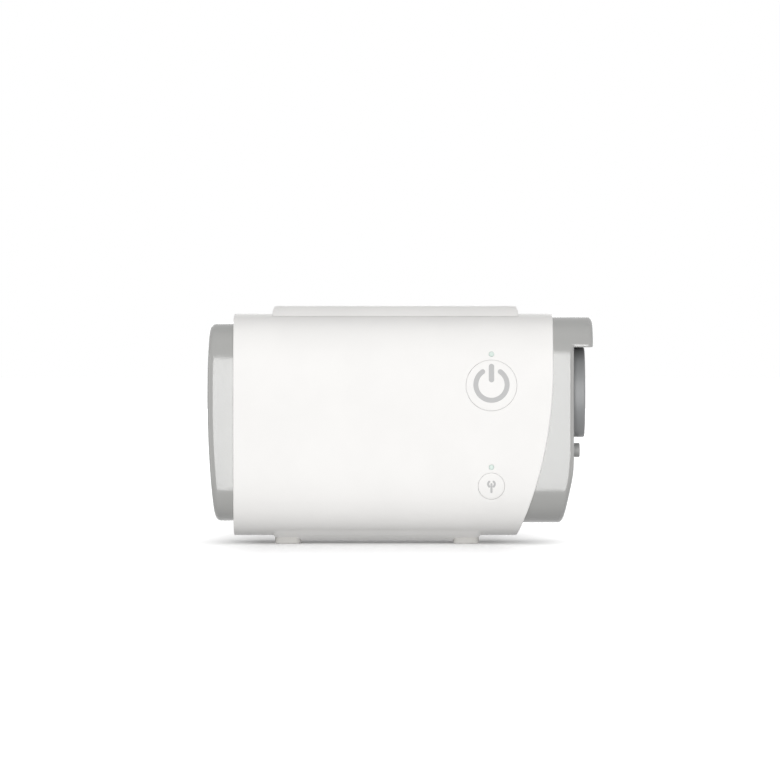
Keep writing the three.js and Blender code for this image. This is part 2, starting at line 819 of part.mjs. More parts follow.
function portSeal() {
  const bore = portTubeRadius + clearance;
  const [left, right] = [bodyRight + clearance, portPlane - capWall - clearance];
  return turnedX(tubeProfile(bore, bore + sealThickness, left, right));
}

function powerInlet() {
  const left = powerRight - powerLength;
  const floor = powerRight - powerBoreDepth;
  const flange = powerRight - powerFlangeInset;
  const profile = [
    [powerPinRadius + clearance, left],
    [powerRadius, left],
    [powerRadius, flange - powerFlangeThickness],
    [powerFlangeRadius, flange - powerFlangeThickness],
    [powerFlangeRadius, flange],
    [powerRadius, flange],
    [powerRadius, powerRight],
    [powerBoreRadius, powerRight],
    [powerBoreRadius, floor],
    [powerPinRadius + clearance, floor],
  ];
  return turnedX(profile, smallSides);
}

const powerPin = () => alongX(
  circle(0, 0, powerPinRadius, smallSides),
  powerRight - powerLength + powerPinInset,
  powerRight - powerPinInset,
);

// Section of the blower's outlet channel, grown or drawn in
function channelSection(grow) {
  const [deep, high] = [channelDepth / 2 + grow, channelHeight / 2 + scrollWall + grow];
  return section(deep, high, channelZ, channelRoundShare, channelCount, scrollMiddle);
}

function outletDuct() {
  const boot = (wall, reach) => {
    const start = channelSection(wall);
    const end = section(portTubeRadius + wall, portTubeRadius + wall, portZ, 1, channelCount);
    const rings = [ringAt(start, straightAt(channelMouth - ductSleeve - reach))];
    for (let i = 0; i <= ductStepCount; i += 1) {
      const share = i / ductStepCount;
      const ease = share * share * (3 - 2 * share);
      const points = start.map((point, j) => point.clone().lerp(end[j], ease));
      rings.push(ringAt(points, straightAt(channelMouth + ductLength * share)));
    }
    rings.push(ringAt(end, straightAt(sleeveRight + reach)));
    return lofted(rings);
  };
  return cut(boot(clearance + ductWall, 0), boot(clearance, overrun));
}

// Blower: two halves of a scroll that meet in the middle of its depth
function scrollOutline(grow) {
  const points = [];
  for (let i = 0; i <= scrollStepCount; i += 1) {
    const share = i / scrollStepCount;
    const angle = THREE.MathUtils.degToRad(tongueAngle - 360 * share);
    const radius = scrollRadiusAt(share) + grow;
    points.push(new THREE.Vector2(blowerX + radius * Math.cos(angle), blowerZ + radius * Math.sin(angle)));
  }
  return points;
}

function scroll(grow, front, rear) {
  const reach = grow > 0 ? 0 : overrun;
  return join(
    alongY(scrollOutline(grow), front, rear),
    alongX(channelSection(grow - scrollWall), blowerX, channelMouth + reach),
  );
}

function scrollHalf(front, rear) {
  const outer = scroll(scrollWall, scrollFront, scrollRear);
  const inner = scroll(0, scrollFront + scrollWall, scrollRear - scrollWall);
  return common(cut(outer, inner), depthBand(front, rear));
}

function blowerFront() {
  const eye = alongY(circle(blowerX, blowerZ, eyeRadius), scrollFront - overrun, scrollMiddle);
  return cut(scrollHalf(scrollFront, scrollMiddle - clearance / 2), eye);
}

const cupEnd = motorRear - motorCapWall - clearance;
const bearingSeat = bearingRadius + clearance;
const cupRadius = statorRadius + clearance + cupWall;

function blowerRear() {
  const half = scrollHalf(scrollMiddle + clearance / 2, scrollRear).translate(-blowerX, 0, -blowerZ);
  const wall = scrollRear - scrollWall / 2;
  const hub = turnedY(tubeProfile(bearingSeat, bearingSeat + hubWall, wall, frontBearing + bearingWidth));
  const cupInner = statorRadius + clearance;
  const ledge = cupInner - seatLedge;
  const seat = coreFront - clearance;
  const cup = turnedY([
    [ledge, wall],
    [cupRadius, wall],
    [cupRadius, cupEnd],
    [cupInner, cupEnd],
    [cupInner, seat],
    [ledge, seat],
  ]);
  const disc = (radius) => circle(0, 0, radius, innerSides);
  const pocket = alongY(disc(bearingSeat), frontBearing - clearance, frontBearing + bearingWidth);
  const lipBore = alongY(disc(bearingRadius - lipLedge), scrollMiddle, frontBearing);
  const leadRoom = circle(scrollRear + leadDepth, 0, leadRadius + clearance, smallSides);
  const leadHole = alongX(leadRoom, 0, cupRadius + overrun).rotate(0, -leadAngle, 0);
  const outsideHub = cut(leadHole, alongY(disc(bearingSeat + hubWall), scrollMiddle, cupEnd));
  return cut(join(half, hub, cup), pocket, lipBore, outsideHub);
}

function motorCap() {
  const hubFront = rearBearing;
  const plate = cupEnd + clearance;
  const spigot = coreRear + clearance;
  const ledge = statorRadius + clearance - seatLedge;
  return turnedY([
    [0, motorRear],
    [0, plate],
    [bearingSeat, plate],
    [bearingSeat, hubFront],
    [bearingSeat + hubWall, hubFront],
    [bearingSeat + hubWall, plate],
    [ledge, plate],
    [ledge, spigot],
    [statorRadius, spigot],
    [statorRadius, plate],
    [cupRadius, plate],
    [cupRadius, motorRear],
  ]);
}

function blade() {
  const [ahead, behind] = [[], []];
  const tip = impellerRadius - bladeThickness / 4;
  for (let i = 0; i <= bladeStepCount; i += 1) {
    const share = i / bladeStepCount;
    const radius = bladeRootRadius + (tip - bladeRootRadius) * share;
    const angle = THREE.MathUtils.degToRad(bladeSweepAngle * share);
    const slope = Math.atan2(THREE.MathUtils.degToRad(bladeSweepAngle) * radius, tip - bladeRootRadius);
    const across = angle + slope + Math.PI / 2;
    const middle = new THREE.Vector2(radius * Math.cos(angle), radius * Math.sin(angle));
    const half = new THREE.Vector2(Math.cos(across), Math.sin(across)).multiplyScalar(bladeThickness / 2);
    ahead.push(middle.clone().add(half));
    behind.unshift(middle.clone().sub(half));
  }
  return [...ahead, ...behind];
}

function impeller() {
  const rear = scrollRear - scrollWall - runGap;
  const front = scrollFront + scrollWall + runGap;
  const plate = rear - backplateThickness;
  const bore = shaftRadius + clearance;
  const hubFront = plate - hubLength;
  const disc = turnedY([
    [bore, hubFront],
    [hubRadius, hubFront],
    [hubRadius, plate],
    [impellerRadius, plate],
    [impellerRadius, rear],
    [bore, rear],
  ]);
  const shroud = turnedY(tubeProfile(eyeRadius, impellerRadius, front, front + shroudThickness));
  const blades = [];
  for (let i = 0; i < bladeCount; i += 1) {
    const turned = alongY(blade(), front + shroudThickness / 2, plate + backplateThickness / 2);
    blades.push(turned.rotate(0, (360 * i) / bladeCount, 0));
  }
  const rim = turnedY(tubeProfile(0, impellerRadius, front, rear));
  return join(disc, shroud, ...blades.map((one) => common(one, rim)));
}

const shaftFront = scrollRear - scrollWall - runGap - backplateThickness - hubLength;
const rotorShaft = () => alongY(
  circle(0, 0, shaftRadius, smallSides), shaftFront, rearBearing + bearingWidth - clearance,
);
const rotorMagnet = () => turnedY(
  tubeProfile(shaftRadius + clearance, magnetRadius, coreFront - magnetOverhang, coreRear + magnetOverhang),
);
const bearing = () => turnedY(tubeProfile(shaftRadius + clearance, bearingRadius, 0, bearingWidth));

const shoeRadius = magnetRadius + airGap;
const yokeRadius = statorRadius - yokeWidth;

function statorCore() {
  const yoke = turnedY(tubeProfile(yokeRadius, statorRadius, coreFront, coreRear));
  const shoes = turnedY(tubeProfile(shoeRadius, shoeRadius + shoeThickness, coreFront, coreRear));
  const spread = Math.tan(THREE.MathUtils.degToRad(shoeAngle)) * yokeRadius;
  const corners = [[0, 0], [yokeRadius, -spread], [yokeRadius, spread]];
  const wedge = corners.map(([x, z]) => new THREE.Vector2(x, z));
  const teeth = [];
  for (let i = 0; i < toothCount; i += 1) {
    const turn = (360 * i) / toothCount;
    const shoe = common(shoes, alongY(wedge, coreFront, coreRear).rotate(0, turn, 0));
    const [root, tip] = [yokeRadius + yokeWidth / 2, shoeRadius + shoeThickness / 2];
    const stem = rectangle(tip, root, -toothWidth / 2, toothWidth / 2);
    teeth.push(join(shoe, alongY(stem, coreFront, coreRear).rotate(0, turn, 0)));
  }
  return join(yoke, ...teeth);
}

function statorWindings() {
  const inner = shoeRadius + shoeThickness + airGap;
  const outer = yokeRadius - clearance;
  const [front, rear] = [coreFront - coilOverhang, coreRear + coilOverhang];
  const half = toothWidth / 2 + clearance;
  const ring = turnedY(tubeProfile(inner, outer, coreRear + clearance, rear));
  const rim = turnedY(tubeProfile(0, outer, front, rear));
  const coils = [];
  for (let i = 0; i < toothCount; i += 1) {
    const block = alongY(rectangle(inner, outer, -half - coilThickness, half + coilThickness), front, rear);
    const room = rectangle(0, statorRadius, -half, half);
    const coil = cut(block, alongY(room, coreFront - clearance, coreRear + clearance));
    coils.push(common(coil.rotate(0, (360 * i) / toothCount, 0), rim));
  }
  return join(ring, ...coils);
}

function blowerMount() {
  const inner = cupRadius + clearance;
  const outer = inner + mountWall;
  return turnedY([
    [inner, mountFront],
    [outer, mountFront],
    [outer, mountRear],
    [mountEyeRadius, mountRear],
    [mountEyeRadius, mountRear - mountFloor],
    [inner, mountRear - mountFloor],
  ]);
}

// Leads that run inside from a socket on the board
function lead(places) {
  const extrudePath = new THREE.CatmullRomCurve3(places.map((place) => new THREE.Vector3(...place)));
  const shape = new THREE.Shape(circle(0, 0, leadRadius, leadSides));
  return solidOf(new THREE.ExtrudeGeometry(shape, { steps: leadSteps, bevelEnabled: false, extrudePath }));
}

const socketRear = boardRear + clearance + socketRise;
const motorSocketPlace = [postRightX, lowPostZ + partsGap + leadRadius];
const powerSocketPlace = [boardRight - partsGap, powerZ];
const capacitorPlace = [
  (postRightX + powerSocketPlace[0]) / 2,
  boardLow + postInset + capacitorRadius,
];
const sensorPlace = [capacitorPlace[0], capacitorPlace[1] + capacitorRadius + partsGap];

function motorLead() {
  const turn = THREE.MathUtils.degToRad(leadAngle);
  const depth = scrollRear + leadDepth;
  const at = (radius) => [blowerX + radius * Math.cos(turn), depth, blowerZ + radius * Math.sin(turn)];
  const [x, z] = motorSocketPlace;
  return lead([
    at(yokeRadius),
    at(cupRadius),
    at(scrollRadiusAt(0)),
    [(x + blowerX + scrollRadiusAt(0)) / 2, depth, z],
    [x, scrollMiddle, z],
    [x, socketRear + clearance + leadRadius, z],
    [x, socketRear + clearance, z],
  ]);
}

function powerLead() {
  const left = powerRight - powerLength - clearance;
  const [x, z] = powerSocketPlace;
  return lead([
    [left, 0, powerZ],
    [left - 2 * leadRadius, 0, powerZ],
    [(left + x) / 2, socketRear * leadBendShare, powerZ],
    [x, socketRear / 2, z],
    [x, socketRear + clearance + leadRadius, z],
    [x, socketRear + clearance, z],
  ]);
}

// Front controls, cut to the body's own surface
function button(z, radius, lightZ) {
  const face = common(alongY(circle(controlX, z, radius), -halfDepth, buttonRear), bodyBlock(0));
  const flangeRadius = radius + clearance + flangeWidth;
  const behindWall = bodyBlock(shellWall + clearance);
  const flange = common(alongY(circle(controlX, z, flangeRadius), -halfDepth, buttonRear), behindWall);
  const hollow = common(
    alongY(circle(controlX, z, radius - buttonWall), -halfDepth, buttonRear + overrun),
    bodyBlock(shellWall + buttonWall),
  );
  const lightRoom = lightRadius + clearance + lightFlange + flangeNotchGap;
  const notch = circle(controlX, lightZ, lightRoom, smallSides);
  const stem = alongY(circle(controlX, z, buttonPostRadius, smallSides), -halfDepth, buttonRear);
  const post = common(stem, behindWall);
  return join(cut(join(face, flange), hollow, alongY(notch, -halfDepth, buttonRear + overrun)), post);
}

function lightPipe(z) {
  const rear = boardFront - clearance - ledHeight - clearance;
  const rod = common(alongY(circle(controlX, z, lightRadius, smallSides), -halfDepth, rear), bodyBlock(0));
  const flangeRadius = lightRadius + clearance + lightFlange;
  const flange = common(
    alongY(circle(controlX, z, flangeRadius, smallSides), -halfDepth, buttonRear),
    bodyBlock(shellWall + clearance),
  );
  return join(rod, flange);
}

function tactSwitch() {
  const base = boardFront - clearance;
  const body = alongY(centred(switchWidth, switchWidth), base - switchHeight, base);
  const top = base - switchHeight - plungerHeight;
  return join(body, alongY(circle(0, 0, plungerRadius, smallSides), top, base - switchHeight / 2));
}

const centred = (width, height) => rectangle(-width / 2, width / 2, -height / 2, height / 2);

function led() {
  const base = boardFront - clearance;
  return alongY(centred(ledWidth, ledWidth / 2), base - ledHeight, base);
}

function mainBoard() {
  const outline = roundedRectangle(boardLeft, boardRight, boardLow, boardHigh, boardCorner);
  let board = alongY(outline, boardFront, boardRear);
  for (const [x, z] of screwPlaces) {
    const notch = circle(x, z, bossRadius + notchGap, smallSides);
    board = cut(board, alongY(notch, boardFront - overrun, boardRear + overrun));
  }
  for (const [x, z] of postPlaces) {
    const hole = circle(x, z, boardScrewRadius + clearance, smallSides);
    board = cut(board, alongY(hole, boardFront - overrun, boardRear + overrun));
  }
  return board;
}

function chipFront(width, height, rise) {
  const base = boardFront - clearance;
  return alongY(centred(width, height), base - rise, base);
}

function chipRear(width, height, rise) {
  const base = boardRear + clearance;
  return alongY(centred(width, height), base, base + rise);
}

function pressureSensor() {
  const top = boardRear + clearance + sensorRise;
  const round = circle(0, 0, sensorBarbRadius, smallSides);
  const barb = alongY(round, top - sensorRise / 2, top + sensorBarbLength);
  return join(chipRear(sensorWidth, sensorHeight, sensorRise), barb);
}

function capacitor() {
  const base = boardRear + clearance;
  const neck = base + capacitorGrooveInset;
  const waist = capacitorRadius - capacitorGroove;
  return turnedY([
    [0, base],
    [capacitorRadius, base],
    [capacitorRadius, neck],
    [waist, neck + capacitorGroove],
    [capacitorRadius, neck + 2 * capacitorGroove],
    [capacitorRadius, base + capacitorLength],
    [0, base + capacitorLength],
  ], smallSides);
}

// Screws, driven forward from the back
function screw(headRadius, headHeight, radius, length) {
  return turnedY([
    [0, headHeight],
    [headRadius, headHeight],
    [headRadius, 0],
    [radius, 0],
    [radius, -length],
    [0, -length],
  ], smallSides);
}

function boardScrew() {
  return screw(boardScrewHeadRadius, boardScrewHeadHeight, boardScrewRadius, boardScrewLength);
}

const caseScrew = () => screw(screwHeadRadius, screwHeadHeight, screwRadius, screwLength);

// Finishes: colour, roughness and metalness
const finishes = {
  whiteShell: [0xf3f1ee, 0.55, 0],
  greyCover: [0xbfbfbb, 0.45, 0],
  darkPort: [0x55575a, 0.5, 0],
  rubber: [0xd9d7d3, 0.8, 0],
  lens: [0xdfeee6, 0.2, 0],
  teal: [0xcfe9e6, 0.2, 0],
  frame: [0xe4e3e0, 0.6, 0],
  foam: [0x3a3b3d, 0.95, 0],
  filter: [0xf7f7f4, 0.95, 0],
  silicone: [0xc9cdd0, 0.7, 0],
  board: [0x1f5a3c, 0.5, 0],
  chip: [0x1b1c1e, 0.4, 0],
  socket: [0xf0ead8, 0.5, 0],
  metal: [0xb9bcc0, 0.35, 1],
  copper: [0xb0683a, 0.35, 1],
  magnet: [0x3c3e42, 0.3, 1],
  blower: [0x8d9298, 0.5, 0],
  lead: [0x202124, 0.6, 0],
};

function piece(name, solid, finish, x = 0, y = 0, z = 0) {
  const [color, roughness, metalness] = finishes[finish];
  const material = new THREE.MeshStandardMaterial({ color, roughness, metalness });
  const mesh = new THREE.Mesh(geometryOf(solid), material);
  mesh.name = name;
  mesh.position.set(x, y, z);
  return mesh;
}

function groupOf(...pieces) {
  const group = new THREE.Group();
  group.add(...pieces);
  return group;
}

const housing = groupOf(
  piece('front_shell', frontShell(), 'whiteShell'),
  piece('rear_cover', rearCover(), 'whiteShell'),
  piece('top_rail', topRail(), 'whiteShell'),
  piece('base_plinth', basePlinth(), 'whiteShell'),
  piece('foot_left', foot(), 'rubber', footPlaces[0]),
  piece('foot_right', foot(), 'rubber', footPlaces[1]),
  piece('inlet_frame', inletFrame(), 'frame'),
  piece('muffler_foam', mufflerFoam(), 'foam'),
  piece('outlet_frame', outletFrame(), 'frame'),
  piece('outlet_cap', outletCap(), 'greyCover'),
  piece('outlet_port', outletPort(), 'darkPort', 0, 0, portZ),
  piece('port_seal', portSeal(), 'silicone', 0, 0, portZ),
  piece('power_inlet', powerInlet(), 'darkPort', 0, 0, powerZ),
  piece('power_pin', powerPin(), 'metal', 0, 0, powerZ),
  piece('start_light', lightPipe(startLightZ), 'lens'),
  piece('pair_light', lightPipe(pairLightZ), 'teal'),
);

const filterDoor = groupOf(
  piece('filter_cover', filterCover(), 'greyCover'),
  piece('air_filter', airFilter(), 'filter'),
);

const buttons = groupOf(
  piece('start_button', button(startZ, startRadius, startLightZ), 'whiteShell'),
  piece('pair_button', button(pairZ, pairRadius, pairLightZ), 'whiteShell'),
);

const electronics = groupOf(
  piece('main_board', mainBoard(), 'board'),
  piece('start_switch', tactSwitch(), 'metal', controlX, 0, startZ),
  piece('pair_switch', tactSwitch(), 'metal', controlX, 0, pairZ),
  piece('start_led', led(), 'lens', controlX, 0, startLightZ),
  piece('pair_led', led(), 'teal', controlX, 0, pairLightZ),
  piece('processor', chipFront(processorWidth, processorWidth, processorRise), 'chip',
    blowerX + processorShift, 0, bodyMiddle),
  piece('radio_module', chipFront(radioWidth, radioHeight, radioRise), 'metal',
    postLeftX + postRadius + radioInset + radioWidth / 2, 0, boardHigh - postInset - radioHeight / 2),
  piece('pressure_sensor', pressureSensor(), 'chip', sensorPlace[0], 0, sensorPlace[1]),
  piece('motor_socket', chipRear(socketWidth, socketHeight, socketRise), 'socket',
    motorSocketPlace[0], 0, motorSocketPlace[1]),
  piece('power_socket', chipRear(socketWidth, socketHeight, socketRise), 'socket',
    powerSocketPlace[0], 0, powerSocketPlace[1]),
  piece('supply_capacitor', capacitor(), 'metal', capacitorPlace[0], 0, capacitorPlace[1]),
  piece('motor_lead', motorLead(), 'lead'),
  piece('power_lead', powerLead(), 'lead'),
);

const blower = groupOf(
  piece('blower_rear', blowerRear(), 'blower'),
  piece('motor_cap', motorCap(), 'blower'),
  piece('impeller', impeller(), 'frame'),
  piece('rotor_shaft', rotorShaft(), 'metal'),
  piece('rotor_magnet', rotorMagnet(), 'magnet'),
  piece('bearing_front', bearing(), 'metal', 0, frontBearing),
  piece('bearing_rear', bearing(), 'metal', 0, rearBearing),
  piece('stator_core', statorCore(), 'metal'),
  piece('stator_windings', statorWindings(), 'copper'),
  piece('blower_mount', blowerMount(), 'silicone'),
);
blower.position.set(blowerX, 0, blowerZ);

const airPath = groupOf(
  piece('blower_front', blowerFront(), 'blower'),
  piece('outlet_duct', outletDuct(), 'silicone'),
);

const headRest = seam - screwSeatDrop + clearance;
const fasteners = groupOf(
  ...screwPlaces.map(([x, z], i) => piece(`case_screw_${i + 1}`, caseScrew(), 'metal', x, headRest, z)),
  ...postPlaces.map(([x, z], i) => piece(
    `board_screw_${i + 1}`, boardScrew(), 'metal', x, boardRear + clearance, z,
  )),
);

export default groupOf(housing, filterDoor, buttons, electronics, blower, airPath, fasteners);
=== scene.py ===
import math
from bisect import bisect_left

import bmesh
import bpy
from mathutils import Matrix, Vector


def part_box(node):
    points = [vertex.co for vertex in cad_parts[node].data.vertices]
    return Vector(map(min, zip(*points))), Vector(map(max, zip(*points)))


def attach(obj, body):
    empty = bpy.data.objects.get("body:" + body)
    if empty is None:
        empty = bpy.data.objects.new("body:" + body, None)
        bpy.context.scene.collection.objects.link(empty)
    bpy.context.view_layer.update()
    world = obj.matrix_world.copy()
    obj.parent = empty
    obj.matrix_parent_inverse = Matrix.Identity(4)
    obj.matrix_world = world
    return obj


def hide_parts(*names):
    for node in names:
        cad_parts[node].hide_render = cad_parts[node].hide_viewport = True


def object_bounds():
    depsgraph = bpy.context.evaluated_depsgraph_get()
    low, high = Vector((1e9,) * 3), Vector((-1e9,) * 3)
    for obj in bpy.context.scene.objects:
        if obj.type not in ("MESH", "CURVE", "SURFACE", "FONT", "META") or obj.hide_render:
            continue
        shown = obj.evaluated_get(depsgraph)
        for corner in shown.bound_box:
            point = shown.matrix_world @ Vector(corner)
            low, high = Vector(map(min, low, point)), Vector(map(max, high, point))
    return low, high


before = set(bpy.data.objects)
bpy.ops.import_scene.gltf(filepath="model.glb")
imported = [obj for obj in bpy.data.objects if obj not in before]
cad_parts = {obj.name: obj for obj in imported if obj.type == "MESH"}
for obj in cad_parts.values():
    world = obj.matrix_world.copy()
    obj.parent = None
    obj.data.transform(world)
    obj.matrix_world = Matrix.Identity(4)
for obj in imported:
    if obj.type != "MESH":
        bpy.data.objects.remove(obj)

cadLow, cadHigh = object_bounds()
mm = 0.001
slack = 0.01 * mm              # places this near each other count as one

# Sizes that several pieces share, read from the frame
shellLow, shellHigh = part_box("front_shell")
endLap = 0.06 * mm             # the case ends stand this much before the frames in them
body = {
    "roundShare": 0.556,       # 1 would make the section an ellipse, 0 a rectangle
    "halfDepth": -shellLow.y,
    "halfHeight": (shellHigh.z - shellLow.z) / 2,
    "middleZ": (shellHigh.z + shellLow.z) / 2,
    "left": shellLow.x - endLap,
    "right": shellHigh.x + endLap,
    "seam": shellHigh.y,
    "jointRadius": 145 * mm,   # sweep of the edge between shell and outlet cap
    "jointBend": 19.2 * mm,    # below the top of the shell, where that sweep starts
    "walkSteps": 4000,
    "onAxis": 1e-6,            # a coordinate on a circle of radius 1 that counts as none
}
bodyTop = body["middleZ"] + body["halfHeight"]


def sectionCurve(place, reach, rise):
    # how far the section's outline stands from one axis, at a place along the other
    power = 2 / body["roundShare"]
    return rise * (1 - min(abs(place) / reach, 1) ** power) ** (1 / power)


def sectionReach(lift):
    return sectionCurve(lift, body["halfHeight"], body["halfDepth"])


def sectionRise(depth):
    return sectionCurve(depth, body["halfDepth"], body["halfHeight"])


def sectionNormal(depth, height):
    power = 2 / body["roundShare"]
    slopes = [math.copysign(abs(place / half) ** (power - 1) / half, place)
              for place, half in ((depth, body["halfDepth"]), (height, body["halfHeight"]))]
    return Vector((0, *slopes)).normalized()


def clamped(value):
    return min(max(value, 0), 1)


def quarterTurns(steps):
    return [math.pi / 2 * i / steps for i in range(steps + 1)]


def drawnOut(value):
    # a coordinate on a circle of radius 1 becomes the section's share of its half size
    away = abs(value)
    return math.copysign(away ** body["roundShare"], value) if away > body["onAxis"] else 0


def sweptEdge(z, reach, bend, radius):
    drop = max(0, bend - z)
    return reach - radius + math.sqrt(radius ** 2 - drop ** 2)


def jointAt(z):
    return sweptEdge(z, body["right"], bodyTop - body["jointBend"], body["jointRadius"])


def walkSection():
    # arc length, depth and height along half the section, from the middle of one face to the other
    steps = []
    length = 0
    for i in range(body["walkSteps"] + 1):
        turn = math.pi * i / body["walkSteps"]
        depth = body["halfDepth"] * drawnOut(math.cos(turn))
        height = body["halfHeight"] * drawnOut(math.sin(turn))
        if steps:
            length += math.dist((depth, height), steps[-1][1:])
        steps.append((length, depth, height))
    return steps


walk = walkSection()
walkLengths = [step[0] for step in walk]
faceHeights = [step[2] for step in walk[: len(walk) // 2]]


def walkAt(length):
    i = min(max(bisect_left(walkLengths, length), 1), len(walk) - 1)
    (a, depthA, heightA), (b, depthB, heightB) = walk[i - 1], walk[i]
    share = (length - a) / (b - a)
    return depthA + (depthB - depthA) * share, heightA + (heightB - heightA) * share


def arcOfZ(z):
    # arc length from the middle of a face to a height on that face
    lift = z - body["middleZ"]
    i = min(max(bisect_left(faceHeights, abs(lift)), 1), len(faceHeights) - 1)
    share = (abs(lift) - faceHeights[i - 1]) / (faceHeights[i] - faceHeights[i - 1])
    return math.copysign(walkLengths[i - 1] + (walkLengths[i] - walkLengths[i - 1]) * share, lift)


def zOfArc(length):
    return body["middleZ"] + math.copysign(walkAt(abs(length))[1], length)


def arcOfDepth(depth):
    # arc length from the middle of a face, over the edge, to a depth measured towards that face
    i = next(i for i, step in enumerate(walk) if step[1] <= depth)
    return walkLengths[i]


def stations(*marks, spare=0.001):
    # places from mark to mark, each mark followed by the widest step after it
    places = [marks[0][0]]
    for (low, step), (high, _) in zip(marks, marks[1:]):
        count = max(1, math.ceil((high - low) / step - spare))
        places += [low + (high - low) * i / count for i in range(1, count + 1)]
    return places


# Mesh helpers
shading = {"smoothAngle": 35, "cornerAngle": 60}


def linked(name, data):
    item = bpy.data.objects.new(name, data)
    bpy.context.collection.objects.link(item)
    return item


def meshOf(name, bm):
    mesh = bpy.data.meshes.new(name)
    bm.to_mesh(mesh)
    bm.free()
    return mesh


def newPiece(name, bm, rideOn, slotName, replaced="", finish=""):
    bmesh.ops.recalc_face_normals(bm, faces=bm.faces[:])
    mesh = meshOf(name, bm)
    mesh.materials.append(finishes[finish or slotName])
    mesh.shade_smooth()
    mesh.set_sharp_from_angle(angle=math.radians(shading["smoothAngle"]))
    piece = linked(name, mesh)
    even = piece.modifiers.new("even shading", "WEIGHTED_NORMAL")      # keeps large faces flat in shade
    even.keep_sharp = True
    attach(piece, rideOn)
    if replaced:
        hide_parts(replaced)


def vertsOf(made):
    return [item for item in made["geom"] if isinstance(item, bmesh.types.BMVert)]


def circleEdges(circle):
    return list({edge for vert in circle["verts"] for edge in vert.link_edges})


def gridOf(bm, columns, rows):
    made = bmesh.ops.create_grid(bm, x_segments=len(columns) - 1, y_segments=len(rows) - 1, size=1)
    for vert in made["verts"]:
        i = round((vert.co.x + 1) / 2 * (len(columns) - 1))
        j = round((vert.co.y + 1) / 2 * (len(rows) - 1))
        vert.co = (columns[i], rows[j], 0)


def edgesWithin(bm, test):
    return [edge for edge in bm.edges if all(test(vert.co) for vert in edge.verts)]


def rimEdges(bm, test):
    return [edge for edge in edgesWithin(bm, test) if edge.is_boundary]


def sharpEdges(bm, test):
    least = math.radians(shading["cornerAngle"])
    return [edge for edge in edgesWithin(bm, test) if edge.is_manifold and edge.calc_face_angle() > least]


def roundEdges(bm, edges, width, segments=3):
    bmesh.ops.bevel(
        bm, geom=edges, offset=width, segments=segments, profile=0.5,
        affect="EDGES", material=-1, clamp_overlap=True, loop_slide=True,
    )


def thicken(bm, drop):
    # a flat pattern is given its wall
    grown = bmesh.ops.extrude_face_region(bm, geom=bm.faces[:])
    bmesh.ops.translate(bm, verts=vertsOf(grown), vec=(0, 0, drop))


def turned(profile, axis, centre, steps, bm=None):
    # a profile of radius and place along the axis, spun into a closed piece
    bm = bm or bmesh.new()
    spinAxis, outwards = Vector((0, 1, 0)), Vector((1, 0, 0))
    if axis == "X":
        spinAxis, outwards = outwards, spinAxis
    centre = Vector(centre)
    verts = [bm.verts.new(centre + outwards * radius + spinAxis * along) for radius, along in profile]
    edges = [bm.edges.new(pair) for pair in zip(verts, verts[1:])]
    if profile[0][0] > 0:
        edges.append(bm.edges.new((verts[-1], verts[0])))
    bmesh.ops.spin(
        bm, geom=verts + edges, cent=centre, axis=spinAxis, angle=math.tau, steps=steps, use_merge=True,
    )
    bmesh.ops.remove_doubles(bm, verts=bm.verts[:], dist=slack / 10)
    return bm


def roundCorner(start, corner, end, radius, steps=4):
    # points of an arc that rounds one corner of a profile
    corner = Vector(corner)
    toStart = (Vector(start) - corner).normalized()
    toEnd = (Vector(end) - corner).normalized()
    half = toStart.angle(toEnd) / 2
    reach = radius / math.tan(half)
    centre = corner + (toStart + toEnd).normalized() * (radius / math.sin(half))
    first = corner + toStart * reach - centre
    last = corner + toEnd * reach - centre
    sweep = first.angle_signed(last)
    return [tuple(centre + Matrix.Rotation(-sweep * i / steps, 2) @ first) for i in range(steps + 1)]


def rounded(profile, radii):
    # a profile with some of its corners rounded, radius by corner
    points = []
    for i, (point, radius) in enumerate(zip(profile, radii)):
        if radius:
            points += roundCorner(profile[i - 1], point, profile[(i + 1) % len(profile)], radius)
        else:
            points.append(point)
    return points


# Materials
def nodeAt(tree, kind, **values):
    node = tree.nodes.new(kind)
    for name, value in values.items():
        if name in node.inputs:
            node.inputs[name].default_value = value
        else:
            setattr(node, name, value)
    return node


def spanned(tree, value, fromSpan, toSpan):
    # a value's span is stretched to another
    names = ("From Min", "From Max", "To Min", "To Max")
    node = nodeAt(tree, "ShaderNodeMapRange", **dict(zip(names, (*fromSpan, *toSpan))))
    tree.links.new(value, node.inputs["Value"])
    return node.outputs["Result"]


